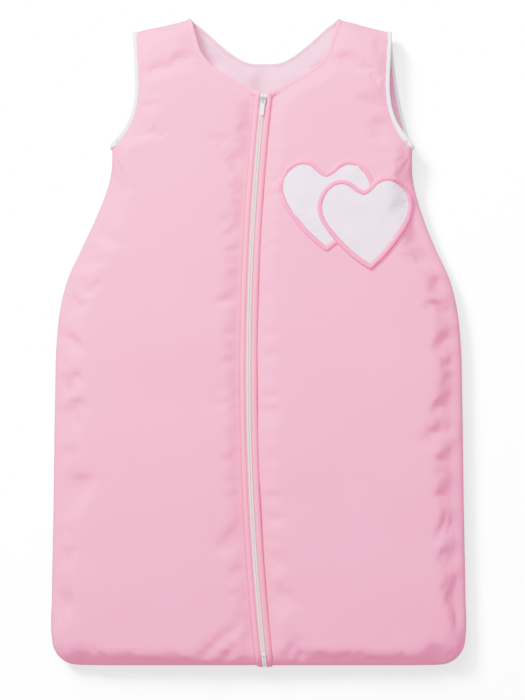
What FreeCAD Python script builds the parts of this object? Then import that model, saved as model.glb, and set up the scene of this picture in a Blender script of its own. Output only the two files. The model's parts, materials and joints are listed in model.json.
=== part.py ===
"""A baby sleeping bag: a sleeveless padded sack that lies flat on its back, front uppermost.

Frame: +X to the viewer's right, +Y from the hem to the neck, +Z up through the front. The origin is the
middle of the bag's outline, on the surface that the back lies on. Millimetres.

The padded walls come from one outer form, the envelope. Each layer of the wall is the difference of two
offsets of that form, and every opening is a cutter shared by all the layers that it goes through.
"""
import FreeCAD
import Part
import Sketcher
import math
import os

from FreeCAD import Placement, Rotation, Vector

SIZES = {
    # outline, seen from above
    "bag_length": 900,
    "hem_width": 578,
    "hem_corner_radius": 42,
    "hip_width": 563,
    "hip_height": 503,
    "hip_radius": 200,
    "hip_shift": -3,
    "chest_width": 424,
    "chest_height": 672,
    "chest_radius": 150,
    "chest_shift": 6,
    "outer_corner_radius": 45,
    "shoulder_width": 358,
    "shoulder_drop": 19,
    "shoulder_reach": 40,
    "shoulder_ridge_radius": 120,
    # wall
    "bag_height": 50,
    "seam_height": 21,
    "front_edge_radius": 27,
    "back_edge_radius": 19,
    "fabric": 0.6,
    "wadding": 9,
    # neck and armholes
    "neck_shift": 8,
    "neck_width": 210,
    "neck_front_width": 176,
    "neck_front_corner": 62,
    "neck_rise": 40,
    "neck_front_depth": 108,
    "neck_front_radius": 35,
    "neck_back_width": 88,
    "neck_back_depth": 62,
    "neck_back_radius": 60,
    "armhole_width": 348,
    "armhole_corner": 160,
    "armhole_radius": 80,
    "armhole_run": 90,
    "armhole_slope": 40,
    "binding_width": 7.5,
    "binding_fabric": 0.6,
    # zip
    "zip_shift": 7,
    "zip_bow": 20.7,
    "zip_end": 18,
    "zip_slot": 26,
    "tape_level": 45.5,
    "tape_thickness": 0.6,
    "tape_gap": 2.4,
    "coil_width": 2.1,
    "coil_thickness": 2.4,
    "coil_gap": 1.7,
    "facing_gap": 10.8,
    "facing_thickness": 1,
    "stop_length": 3.5,
    "stop_width": 2.6,
    "stop_height": 2,
    # slider and pull
    "slider_length": 11.5,
    "slider_width": 8.2,
    "slider_mouth": 9.6,
    "slider_corner": 1.5,
    "slider_wall": 0.9,
    "slider_lip": 0.9,
    "slider_clearance": 0.3,
    "slider_post_width": 1.2,
    "slider_post_length": 3.4,
    "bail_width": 1.6,
    "bail_reach": 5,
    "bail_rise": 2.3,
    "bail_wall": 0.7,
    "pin_diameter": 1.2,
    "pin_clearance": 0.15,
    "pull_length": 20,
    "pull_width": 5.2,
    "pull_window_width": 2.6,
    "pull_window_length": 3.2,
    "pull_end_radius": 2.4,
    # lapels, which the open front folds out into
    "fold_gap": 0.4,
    "fold_drop": 65,
    "fold_end": 60,
    "fold_left": 80,
    "fold_right": 76,
    "lapel_left_end": 410,
    "lapel_right_end": 160,
    # applique hearts
    "heart_lobe_radius": 38,
    "heart_lobe_spread": 29.5,
    "heart_depth": 127,
    "heart_border": 6.5,
    "patch_thickness": 0.6,
    "border_thickness": 1.2,
    "front_heart_across": 143.5,
    "front_heart_height": 676,
    "front_heart_turn": 4.7,
    "rear_heart_across": 93,
    "rear_heart_height": 701,
    "rear_heart_turn": 0,
}

doc = FreeCAD.newDocument("baby_sleeping_bag")
sheet = doc.addObject("Spreadsheet::Sheet", "Sizes")
for row, (alias, number) in enumerate(SIZES.items(), start=1):
    sheet.set(f"A{row}", alias)
    sheet.set(f"B{row}", str(number))
    sheet.setAlias(f"B{row}", alias)

# Values worked out from the driving ones, kept as formulas beside them.
DERIVED = {
    "half_length": "=bag_length / 2",
    "wall": "=2 * fabric + wadding",
    "zip_top": "=bag_length / 2 - neck_front_depth",
    "zip_bottom": "=-bag_length / 2 + zip_end",
    "zip_middle": "=(zip_top + zip_bottom) / 2",
    "zip_half": "=(zip_top - zip_bottom) / 2",
    "zip_radius": "=(zip_half ^ 2 + zip_bow ^ 2) / (2 * zip_bow)",
    "zip_centre": "=zip_shift - zip_bow + zip_radius",
    "coil_level": "=tape_level + tape_thickness",
    "slider_floor": "=tape_level - slider_clearance",
    "slider_roof": "=coil_level + coil_thickness + slider_clearance",
    "plate_top": "=slider_roof + slider_wall",
    "pin_level": "=plate_top + pin_clearance + pin_diameter / 2",
    "slider_height": "=zip_top - stop_length - 0.5 - slider_length / 2",
    "fold_start": "=fold_end - bag_length / 2",
    "fold_finish": "=bag_length / 2 - fold_drop",
}
for row, (alias, formula) in enumerate(DERIVED.items(), start=len(SIZES) + 1):
    sheet.set(f"A{row}", alias)
    sheet.set(f"B{row}", formula)
    sheet.setAlias(f"B{row}", alias)
doc.recompute()


def size(alias):
    """The number that a cell of the sheet holds."""
    return float(getattr(sheet, alias))


def value(expression):
    """The number that an expression on the sheet comes to."""
    return float(sheet.evalExpression(cells(str(expression))))


def cells(expression):
    """The same expression with every bare alias pointed at the sheet."""
    words, word = [], ""
    for letter in expression + " ":
        if letter.isalnum() or letter == "_":
            word += letter
        else:
            words.append(f"Sizes.{word}" if word in SIZES or word in DERIVED else word)
            words.append(letter)
            word = ""
    return "".join(words).strip()


def bind(thing, name, expression):
    """Sets a property from an expression on the sheet."""
    thing.setExpression(name, cells(str(expression)))


# ---------------------------------------------------------------- sketches and bodies
def new_body(name):
    return doc.addObject("PartDesign::Body", name)


def new_sketch(body, name, plane="XY_Plane"):
    sketch = body.newObject("Sketcher::SketchObject", name)
    role = next(f for f in body.Origin.OriginFeatures if f.Role == plane)
    sketch.AttachmentSupport = [(role, "")]
    sketch.MapMode = "FlatFace"
    return sketch


def dimension(sketch, kind, first, expression, *rest):
    """Adds one dimension to a sketch, driven by an expression."""
    index = sketch.addConstraint(Sketcher.Constraint(kind, *first, *rest, value(expression)))
    sketch.setExpression(f"Constraints[{index}]", cells(str(expression)))


def pin_point(sketch, geometry, end, across, up):
    """Places one end of a piece of geometry, measured from the sketch's origin."""
    dimension(sketch, "DistanceX", (-1, 1, geometry, end), across)
    dimension(sketch, "DistanceY", (-1, 1, geometry, end), up)


def tangent_points(before, corner, after, radius):
    """Where an arc of this radius leaves and joins the two lines that meet at a corner, and its centre."""
    back, on = (before - corner).normalize(), (after - corner).normalize()
    half = back.getAngle(on) / 2
    reach = radius / math.tan(half)
    centre = corner + (back + on).normalize() * (radius / math.sin(half))
    return corner + back * reach, corner + on * reach, centre


def corner_loop(sketch, corners):
    """A closed, fully constrained loop of lines. Each corner is (across, up, radius) in expressions."""
    points = [Vector(value(x), value(y), 0) for x, y, _ in corners]
    count = len(points)
    leave, join, centres = [], [], []
    for i, (_, _, radius) in enumerate(corners):
        if value(radius) > 0:
            a, b, c = tangent_points(points[i - 1], points[i], points[(i + 1) % count], value(radius))
        else:
            a, b, c = points[i], points[i], None
        leave.append(a)
        join.append(b)
        centres.append(c)
    lines = [
        sketch.addGeometry(Part.LineSegment(join[i], leave[(i + 1) % count]), False) for i in range(count)
    ]
    for i, (across, up, radius) in enumerate(corners):
        before, after = lines[i - 1], lines[i]
        if centres[i] is None:
            sketch.addConstraint(Sketcher.Constraint("Coincident", before, 2, after, 1))
            pin_point(sketch, after, 1, across, up)
            continue
        turn = (points[i] - points[i - 1]).cross(points[(i + 1) % count] - points[i]).z
        first, second = (leave[i], join[i]) if turn > 0 else (join[i], leave[i])
        middle = centres[i]
        start = math.atan2(first.y - middle.y, first.x - middle.x)
        stop = math.atan2(second.y - middle.y, second.x - middle.x)
        circle = Part.Circle(middle, Vector(0, 0, 1), value(radius))
        arc = sketch.addGeometry(Part.ArcOfCircle(circle, start, stop), False)
        ends = (1, 2) if turn > 0 else (2, 1)
        sketch.addConstraint(Sketcher.Constraint("Tangent", before, 2, arc, ends[0]))
        sketch.addConstraint(Sketcher.Constraint("Tangent", arc, ends[1], after, 1))
        dimension(sketch, "Radius", (arc,), radius)
        corner = sketch.addGeometry(Part.Point(points[i]), True)
        sketch.addConstraint(Sketcher.Constraint("PointOnObject", corner, 1, before))
        sketch.addConstraint(Sketcher.Constraint("PointOnObject", corner, 1, after))
        pin_point(sketch, corner, 1, across, up)


def pad(body, sketch, length, name="Pad"):
    feature = body.newObject("PartDesign::Pad", name)
    feature.Profile = sketch
    bind(feature, "Length", length)
    doc.recompute()
    return feature


def prism(name, corners, bottom, top):
    """A body with straight sides, from one level to another, over a loop of corners."""
    body = new_body(name)
    sketch = new_sketch(body, name + "_outline")
    corner_loop(sketch, corners)
    pad(body, sketch, f"({top}) - ({bottom})", name + "_pad")
    bind(body, "Placement.Base.z", bottom)
    doc.recompute()
    return body


def flat_edges(feature, direction):
    """The name of the flat face of a feature that looks along +Z or -Z."""
    found = [
        f"Face{i}"
        for i, face in enumerate(feature.Shape.Faces, start=1)
        if isinstance(face.Surface, Part.Plane) and face.normalAt(0, 0).z * direction > 0.99
    ]
    return found


# ---------------------------------------------------------------- booleans
def cut(name, base, *tools):
    """What is left of base once each tool is taken away."""
    for i, tool in enumerate(tools):
        feature = doc.addObject("Part::Cut", f"{name}_cut{i}" if i < len(tools) - 1 else name)
        feature.Base = base
        feature.Tool = tool
        base = feature
    return base


def common(name, base, tool):
    feature = doc.addObject("Part::Common", name)
    feature.Base = base
    feature.Tool = tool
    return feature


def fuse(name, *shapes):
    feature = doc.addObject("Part::MultiFuse", name)
    feature.Shapes = list(shapes)
    return feature


def offset(name, source, distance):
    """The same form with every face moved out by a distance, or in if it is negative."""
    feature = doc.addObject("Part::Offset", name)
    feature.Source = source
    bind(feature, "Value", distance)
    feature.Mode = 0
    feature.Join = 0
    return feature


def box(name, corner, lengths):
    """A box from its lowest corner."""
    feature = doc.addObject("Part::Box", name)
    for side, length in zip(("Length", "Width", "Height"), lengths):
        bind(feature, side, length)
    for axis, place in zip("xyz", corner):
        bind(feature, f"Placement.Base.{axis}", place)
    return feature


def zip_drum(name, half_width):
    """A tall cylinder about the zip's centre of curvature. It reaches half_width past the zip's line."""
    feature = doc.addObject("Part::Cylinder", name)
    bind(feature, "Radius", f"zip_radius + ({half_width})")
    bind(feature, "Height", "3 * bag_height")
    bind(feature, "Placement.Base.x", "zip_centre")
    bind(feature, "Placement.Base.y", "zip_middle")
    bind(feature, "Placement.Base.z", "-bag_height")
    return feature


def envelope():
    """The outer form of the closed, filled bag, without its openings."""
    side = "(hem_width / 2)"
    low = "(-half_length)"
    hip = "(hip_height - half_length)"
    chest = "(chest_height - half_length)"
    slope = "(shoulder_drop / (shoulder_width / 2 - neck_width / 2))"
    outer = "(shoulder_width / 2 + shoulder_reach)"
    outer_up = f"(half_length - {slope} * ({outer} - neck_width / 2))"
    ridge_up = f"(half_length + {slope} * neck_width / 2)"
    corners = [
        (side, low, "hem_corner_radius"),
        ("hip_width / 2 + hip_shift", hip, "hip_radius"),
        ("chest_width / 2 + chest_shift", chest, "chest_radius"),
        (f"{outer} + chest_shift", outer_up, "outer_corner_radius"),
        ("neck_shift", ridge_up, "shoulder_ridge_radius"),
        (f"-{outer} + chest_shift", outer_up, "outer_corner_radius"),
        ("-chest_width / 2 + chest_shift", chest, "chest_radius"),
        ("-hip_width / 2 + hip_shift", hip, "hip_radius"),
        (f"-{side}", low, "hem_corner_radius"),
    ]
    body = new_body("envelope")
    sketch = new_sketch(body, "envelope_outline")
    corner_loop(sketch, corners)
    last = pad(body, sketch, "bag_height", "envelope_pad")
    for name, direction, radius in (
        ("front_edge", 1, "front_edge_radius"),
        ("back_edge", -1, "back_edge_radius"),
    ):
        feature = body.newObject("PartDesign::Fillet", name)
        feature.Base = (last, flat_edges(last, direction))
        bind(feature, "Radius", radius)
        doc.recompute()
        last = feature
    return body


form = envelope()
under_shell = offset("under_shell", form, "-fabric")
under_wadding = offset("under_wadding", form, "-(fabric + wadding)")
cavity = offset("cavity", form, "-wall")
binding_outside = offset("binding_outside", form, "binding_fabric")
binding_inside = offset("binding_inside", form, "-(wall + binding_fabric)")

# ---------------------------------------------------------------- cutters
everywhere = ("-bag_length", "-bag_length", "-bag_height")
front_half = box("front_half", ("-bag_length", "-bag_length", "seam_height"), ["2 * bag_length"] * 3)
back_half = box("back_half", everywhere, ["2 * bag_length"] * 2 + ["bag_height + seam_height"])

NECK_SIDE = "(neck_front_width / 2 + (neck_width - neck_front_width) / 2" \
            " * neck_front_corner / (neck_front_corner + neck_rise))"


def mirrored(right_side, middle):
    """A loop from the corners of its right half, bottom first, and the same corners across the middle."""
    right = [(f"{middle} + {across}", up, radius) for across, up, radius in right_side]
    left = [(f"{middle} - {across}", up, radius) for across, up, radius in reversed(right_side)]
    return right + left


def tall(name, corners):
    """A cutter that passes right through the bag."""
    return prism(name, corners, "-bag_height", "2 * bag_height")


neck_top = ("neck_width / 2", "half_length + neck_rise", "0")
front_neck_right = [
    ("neck_front_width / 2", "half_length - neck_front_corner", "neck_front_radius"),
    neck_top,
]
back_neck_right = [
    ("neck_back_width / 2", "half_length - neck_back_depth", "neck_back_radius"),
    (NECK_SIDE, "half_length - 3", "0"),
    neck_top,
]
front_neck = tall(
    "front_neck", [("zip_shift", "zip_top", "0")] + mirrored(front_neck_right, "neck_shift")
)
back_neck = tall("back_neck", mirrored(back_neck_right, "neck_shift"))


def armhole(name, side):
    """The cutter of one armhole: side is 1 on the right and -1 on the left."""
    inner = f"chest_shift + {side} * armhole_width / 2"
    outer = f"chest_shift + {side} * (armhole_width / 2 + armhole_run)"
    corners = [
        (inner, "half_length - armhole_corner", "armhole_radius"),
        (outer, "half_length - armhole_corner - armhole_slope", "0"),
        (outer, "half_length + neck_rise", "0"),
        (inner, "half_length + neck_rise", "0"),
    ]
    if side < 0:
        corners.reverse()
    return tall(name, corners)


armholes = {"left": armhole("armhole_left", -1), "right": armhole("armhole_right", 1)}
doc.recompute()


def turn_at(height):
    """How far round its arc the zip has turned at a height, from the arc's middle."""
    return f"asin((({height}) - zip_middle) / zip_radius)"


def sector(name, reach, low, high, bottom, height):
    """A slice of a cylinder about the zip's centre of curvature, between two heights along the zip."""
    feature = doc.addObject("Part::Cylinder", name)
    bind(feature, "Radius", f"zip_radius + ({reach})")
    bind(feature, "Height", height)
    bind(feature, "Angle", f"{turn_at(high)} - {turn_at(low)}")
    bind(feature, "Placement.Base.x", "zip_centre")
    bind(feature, "Placement.Base.y", "zip_middle")
    bind(feature, "Placement.Base.z", bottom)
    feature.Placement.Rotation = Rotation(Vector(0, 0, 1), 90)
    bind(feature, "Placement.Rotation.Angle", f"180 deg - {turn_at(high)}")
    return feature


def zip_strip(name, side, near, far, low, high, bottom, thickness):
    """A strip that follows the zip on one side of it, between two distances from its line."""
    reaches = (far, near) if side == "left" else (f"-({near})", f"-({far})")
    outer = sector(name + "_outer", reaches[0], low, high, bottom, thickness)
    inner = sector(name + "_inner", reaches[1], low, high, bottom, thickness)
    return cut(name, outer, inner)


# Both fold lines start on the zip's line, at the height fold_start.
FOLD_FOOT = "(zip_centre - sqrt(zip_radius ^ 2 - (fold_start - zip_middle) ^ 2))"


def fold_head(side):
    sign = -1 if side == "left" else 1
    return f"(neck_shift + {sign} * fold_{side})"


def fold_turn(side):
    """How far a fold line leans from the bag's length."""
    return f"atan(({FOLD_FOOT} - {fold_head(side)}) / (fold_finish - fold_start))"


def lapel_region(name, side, margin):
    """The part of the front beyond a fold line, towards the zip, grown by a margin. It ends where the panel
    between the fold line and the zip is wide enough to turn clear of the other side."""
    feature = doc.addObject("Part::Box", name)
    bind(feature, "Length", f"fold_{side} + zip_bow + 2 * ({margin})")
    bind(feature, "Width", "bag_length")
    bind(feature, "Height", "bag_height")
    reach = f"(-({margin}))" if side == "left" else f"({margin} - fold_{side} - zip_bow - 2 * ({margin}))"
    lean = fold_turn(side)
    end = f"(lapel_{side}_end - half_length)"
    across = f"({FOLD_FOOT} - ({end} - fold_start) * tan({lean}))"
    bind(feature, "Placement.Base.x", f"{across} + {reach} * cos({lean}) + ({margin}) * sin({lean})")
    bind(feature, "Placement.Base.y", f"{end} + {reach} * sin({lean}) - ({margin}) * cos({lean})")
    bind(feature, "Placement.Base.z", "bag_height - wall - 3 * binding_fabric")
    feature.Placement.Rotation = Rotation(Vector(0, 0, 1), 10)
    bind(feature, "Placement.Rotation.Angle", lean)
    return feature


SIDES = ("left", "right")
lapel = {side: lapel_region(f"lapel_{side}", side, "-fold_gap / 2") for side in SIDES}
beside_lapel = {side: lapel_region(f"beside_lapel_{side}", side, "fold_gap / 2") for side in SIDES}
drums = {
    "left": zip_drum("left_of_zip", "zip_slot / 2"),
    "right": zip_drum("right_of_zip", "-zip_slot / 2"),
}
doc.recompute()

nodes = {}


def keep(name, feature):
    """Names a finished sub-part."""
    feature.Label = name
    nodes[name] = feature
    return feature


def on_side(name, layer, side):
    """The part of a front layer on one side of the zip."""
    if side == "left":
        return cut(name, layer, drums[side])
    return common(name, layer, drums[side])


def fold_split(name, whole, side):
    """A front piece as its two rigid parts: the fixed one, and the one beyond the fold line."""
    fixed = cut(name + "_fixed", whole, beside_lapel[side])
    folding = common(name + "_folding", whole, lapel[side])
    return fixed, folding


# ---------------------------------------------------------------- padded walls
LAYERS = {
    "shell": (form, under_shell),
    "wadding": (under_shell, under_wadding),
    "lining": (under_wadding, cavity),
}
for layer, (outside, inside) in LAYERS.items():
    skin = cut(layer + "_skin", outside, inside, armholes["left"], armholes["right"])
    back = cut(layer + "_back", common(layer + "_below_seam", skin, back_half), back_neck)
    keep(f"back_{layer}", back)
    front = cut(layer + "_front", common(layer + "_above_seam", skin, front_half), front_neck)
    for side in SIDES:
        half = on_side(f"{layer}_{side}_half", front, side)
        fixed, folding = fold_split(f"{layer}_{side}", half, side)
        keep(f"front_{side}_{layer}", fixed)
        keep(f"lapel_{side}_{layer}", folding)
doc.recompute()

# ---------------------------------------------------------------- bindings
wall_solid = cut("wall_solid", form, cavity)
below = box("below", everywhere, ["2 * bag_length"] * 2 + ["bag_height"])
binding_zone = cut("binding_zone", binding_outside, binding_inside, below)


def binding(name, opening):
    """The folded band along the edge of an opening, over both faces of the wall and across its thickness."""
    grown = offset(name + "_grown", opening, "binding_width")
    shrunk = offset(name + "_shrunk", opening, "-binding_fabric")
    wall = cut(name + "_wall", wall_solid, opening)
    ring = cut(name + "_ring", grown, shrunk)
    return cut(name, common(name + "_band", binding_zone, ring), wall)


for side in SIDES:
    keep(f"armhole_binding_{side}", binding(f"{side}_armhole_band", armholes[side]))
neck_back_band = common("neck_back_half", binding("back_neck_band", back_neck), back_half)
keep("neck_binding_back", neck_back_band)
neck_front_band = common("neck_front_half", binding("front_neck_band", front_neck), front_half)
for side in SIDES:
    half = on_side(f"neck_{side}_half", neck_front_band, side)
    fixed, folding = fold_split(f"neck_band_{side}", half, side)
    keep(f"neck_binding_{side}", fixed)
    keep(f"lapel_{side}_neck_binding", folding)
doc.recompute()

# ---------------------------------------------------------------- zip
STRIPS = {
    "tape": ("tape_gap / 2", "zip_slot / 2", "tape_level", "tape_thickness"),
    "coil": ("coil_gap / 2", "coil_gap / 2 + coil_width", "coil_level", "coil_thickness"),
    "facing": ("facing_gap / 2", "zip_slot / 2", "coil_level", "facing_thickness"),
}
TOP_OF = {"tape": "zip_top", "coil": "slider_height", "facing": "zip_top"}
END_OF = {"tape": "zip_bottom", "coil": "zip_bottom + stop_length", "facing": "zip_bottom"}
for side in SIDES:
    for strip, (near, far, bottom, thickness) in STRIPS.items():
        name = f"{strip}_{side}"
        upper = zip_strip(name + "_upper", side, near, far, "fold_start", TOP_OF[strip], bottom, thickness)
        keep(f"lapel_{side}_zip_{strip}", upper)
        lower = zip_strip(name + "_lower", side, near, far, END_OF[strip], "fold_start", bottom, thickness)
        if strip == "facing":
            past = zip_strip(
                name + "_past", side, "0", "zip_slot / 2", "-half_length - bag_height", "zip_bottom",
                "seam_height", "bag_height",
            )
            over_hem = common(name + "_over_hem", wall_solid, past)
            lower = fuse(name + "_to_hem", lower, over_hem)
        keep(f"zip_{strip}_{side}", lower)
    stop = zip_strip(
        f"top_stop_{side}", side, "tape_gap / 2", "tape_gap / 2 + stop_width",
        "zip_top - stop_length", "zip_top", "coil_level", "stop_height",
    )
    keep(f"zip_top_stop_{side}", stop)
bottom_stop = zip_strip(
    "bottom_stop_arc", "left", "-stop_width", "stop_width",
    "zip_bottom", "zip_bottom + stop_length", "coil_level", "stop_height",
)
keep("zip_bottom_stop", bottom_stop)
doc.recompute()


# ---------------------------------------------------------------- hearts
def heart_prism(name, across, height, turn):
    """A heart-shaped column through the front face. Its origin is level with the tops of the lobes."""
    body = new_body(name)
    sketch = new_sketch(body, name + "_outline")
    radius, spread, depth = size("heart_lobe_radius"), size("heart_lobe_spread"), size("heart_depth")
    notch = Vector(0, -radius + math.sqrt(radius ** 2 - spread ** 2), 0)
    tip = Vector(0, -depth, 0)
    lobes, edges = [], []
    for side in (-1, 1):
        centre = Vector(side * spread, -radius, 0)
        reach = (centre - tip).Length
        lean = math.atan2(spread, depth - radius) + math.asin(radius / reach)
        run = math.sqrt(reach ** 2 - radius ** 2)
        touch = tip + Vector(side * math.sin(lean), math.cos(lean), 0) * run
        ends = (touch, notch) if side > 0 else (notch, touch)
        angles = [math.atan2(p.y - centre.y, p.x - centre.x) for p in ends]
        circle = Part.Circle(centre, Vector(0, 0, 1), radius)
        lobes.append(sketch.addGeometry(Part.ArcOfCircle(circle, *angles), False))
        edges.append(sketch.addGeometry(Part.LineSegment(tip, touch), False))
    for lobe, edge, at_touch in zip(lobes, edges, (2, 1)):
        sketch.addConstraint(Sketcher.Constraint("Tangent", edge, 2, lobe, at_touch))
        dimension(sketch, "Radius", (lobe,), "heart_lobe_radius")
    sketch.addConstraint(Sketcher.Constraint("Coincident", lobes[0], 1, lobes[1], 2))
    sketch.addConstraint(Sketcher.Constraint("PointOnObject", lobes[0], 1, -2))
    sketch.addConstraint(Sketcher.Constraint("Coincident", edges[0], 1, edges[1], 1))
    pin_point(sketch, lobes[0], 3, "-heart_lobe_spread", "-heart_lobe_radius")
    dimension(sketch, "DistanceY", (lobes[1], 3, -1, 1), "heart_lobe_radius")
    sketch.addConstraint(Sketcher.Constraint("PointOnObject", edges[0], 1, -2))
    dimension(sketch, "DistanceY", (edges[0], 1, -1, 1), "heart_depth")
    pad(body, sketch, "bag_height", name + "_pad")
    bind(body, "Placement.Base.x", across)
    bind(body, "Placement.Base.y", f"{height} - half_length")
    bind(body, "Placement.Base.z", "bag_height / 2")
    body.Placement.Rotation = Rotation(Vector(0, 0, 1), 10)
    bind(body, "Placement.Rotation.Angle", turn)
    doc.recompute()
    return body


def slab(name, thickness):
    return box(name, ("-bag_length", "-bag_length", "bag_height"), ["2 * bag_length"] * 2 + [thickness])


patch_slab = slab("patch_slab", "patch_thickness")
border_slab = slab("border_slab", "border_thickness")
hearts = {
    which: heart_prism(
        f"{which}_heart", f"{which}_heart_across", f"{which}_heart_height", f"{which}_heart_turn * 1 deg"
    )
    for which in ("front", "rear")
}
for which, whole in hearts.items():
    inner = offset(f"{which}_heart_inner", whole, "-heart_border")
    patch = common(f"{which}_patch", inner, patch_slab)
    border = common(f"{which}_border", cut(f"{which}_border_column", whole, inner), border_slab)
    for kind, piece in (("patch", patch), ("border", border)):
        if which == "front":
            keep(f"front_heart_{kind}", piece)
            continue
        seen = cut(f"rear_{kind}_seen", piece, hearts["front"])
        fixed, folding = fold_split(f"rear_{kind}", seen, "right")
        keep(f"rear_heart_{kind}", fixed)
        keep(f"lapel_right_heart_{kind}", folding)
doc.recompute()


# ---------------------------------------------------------------- slider and pull
def slider_plate(name, bottom, top):
    half_mouth, half_tail = "slider_mouth / 2", "slider_width / 2"
    corners = [
        (f"{half_tail}", "-slider_length / 2", "slider_corner"),
        (f"{half_mouth}", "slider_length / 2", "slider_corner"),
        (f"-{half_mouth}", "slider_length / 2", "slider_corner"),
        (f"-{half_tail}", "-slider_length / 2", "slider_corner"),
    ]
    return prism(name, corners, bottom, top)


def block(name, across, along, bottom, top):
    """A box from ranges of the slider's own directions, each a pair of expressions."""
    corner = (across[0], along[0], bottom)
    lengths = (f"{across[1]} - ({across[0]})", f"{along[1]} - ({along[0]})", f"{top} - ({bottom})")
    return box(name, corner, lengths)


def slider():
    """Two plates that a post joins, with lips beside the coils and a bail that holds the pull's bar."""
    lower = slider_plate("lower_plate", "slider_floor - slider_wall", "slider_floor")
    upper = slider_plate("upper_plate", "coil_level + slider_clearance", "plate_top")
    channel = block(
        "coil_channel",
        ("-slider_width / 2 + slider_lip", "slider_width / 2 - slider_lip"),
        ("-slider_length", "slider_length"),
        "slider_floor", "slider_roof",
    )
    post = block(
        "post",
        ("-slider_post_width / 2", "slider_post_width / 2"),
        ("slider_length / 2 - slider_post_length", "slider_length / 2"),
        "slider_floor - slider_wall / 2", "plate_top - slider_wall / 2",
    )
    bail_width = ("-bail_width / 2", "bail_width / 2")
    bail_outside = block(
        "bail_outside", bail_width, ("-bail_reach / 2", "bail_reach / 2"),
        "plate_top - slider_wall / 2", "plate_top + bail_rise",
    )
    bail_inside = block(
        "bail_inside", ("-bail_width", "bail_width"),
        ("-bail_reach / 2 + bail_wall", "bail_reach / 2 - bail_wall"),
        "plate_top", "plate_top + bail_rise - bail_wall",
    )
    doc.recompute()
    arch = doc.addObject("Part::Fillet", "bail_round")
    arch.Base = bail_outside
    across_top = [
        i for i, edge in enumerate(bail_outside.Shape.Edges, start=1)
        if abs(edge.tangentAt(edge.FirstParameter).x) > 0.9
        and edge.CenterOfMass.z > bail_outside.Shape.BoundBox.Center.z
    ]
    arch.Edges = [(i, value("bail_wall"), value("bail_wall")) for i in across_top]
    upper_cut = cut("upper_plate_cut", upper, channel)
    bail = cut("bail", arch, bail_inside)
    return fuse("slider_in_place", lower, upper_cut, post, bail)


def pull():
    """A flat tab with a window for the bail, and a round bar across its end."""
    body = new_body("pull_plate")
    sketch = new_sketch(body, "pull_outline")
    half, end = "pull_width / 2", "pull_end_radius"
    corner_loop(sketch, [
        (half, "0", "0"),
        (f"-{half}", "0", "0"),
        (f"-{half}", "-pull_length", end),
        (half, "-pull_length", end),
    ])
    pad(body, sketch, "pin_diameter", "pull_pad")
    bind(body, "Placement.Base.z", "pin_level - pin_diameter / 2")
    window = block(
        "pull_window", ("-pull_window_width / 2", "pull_window_width / 2"),
        ("-pin_diameter / 2 - pull_window_length", "pin_diameter"), "plate_top", "pin_level + pin_diameter",
    )
    bar = doc.addObject("Part::Cylinder", "pull_bar")
    bind(bar, "Radius", "pin_diameter / 2")
    bind(bar, "Height", "pull_width")
    bind(bar, "Placement.Base.x", "-pull_width / 2")
    bind(bar, "Placement.Base.z", "pin_level")
    bar.Placement.Rotation = Rotation(Vector(0, 1, 0), 90)
    return fuse("pull_in_place", cut("pull_frame", body, window), bar)


def on_zip(name, feature):
    """Stands a piece of the slider on the zip's line, square to it, at the slider's place."""
    doc.recompute()
    turn = turn_at("slider_height")
    for axis, place in (
        ("x", f"zip_centre - zip_radius * cos({turn})"),
        ("y", f"zip_middle + zip_radius * sin({turn})"),
    ):
        bind(feature, f"Placement.Base.{axis}", place)
    feature.Placement.Rotation = Rotation(Vector(0, 0, 1), -5)
    bind(feature, "Placement.Rotation.Angle", f"-{turn}")
    return keep(name, feature)


on_zip("slider_body", slider())
on_zip("pull_tab", pull())
doc.recompute()

# ---------------------------------------------------------------- checks and files
for thing in doc.Objects:
    faults = [state for state in thing.State if state in ("Invalid", "Error")]
    if faults:
        raise RuntimeError(f"{thing.Name}: {faults}")
os.makedirs("parts", exist_ok=True)
for name, feature in nodes.items():
    shape = feature.Shape
    if shape.isNull() or not shape.isValid() or not shape.Solids:
        raise RuntimeError(f"{name} has no sound solid")
    shape.exportStep(f"parts/{name}.step")
    print(f"{name:26s} {len(shape.Solids)} solid, {shape.Volume / 1000:8.2f} cm3")
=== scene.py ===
# %% [markdown]
# # The looks of a baby sleeping bag
#
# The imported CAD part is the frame. This script dresses it: padded fabric panels that a short cloth
# simulation fills, a zip with real teeth, sewn bindings and two satin-stitched hearts.
#
# Lengths are in millimetres until a mesh is made, and `MM` turns them into metres there. The bag lies on its
# back: +X is to the right of someone who looks down on the front, +Y is towards the neck, +Z is up.

# %% Load the frame
import json
import math

import bpy
import numpy as np
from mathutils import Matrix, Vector
from mathutils.bvhtree import BVHTree


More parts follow.
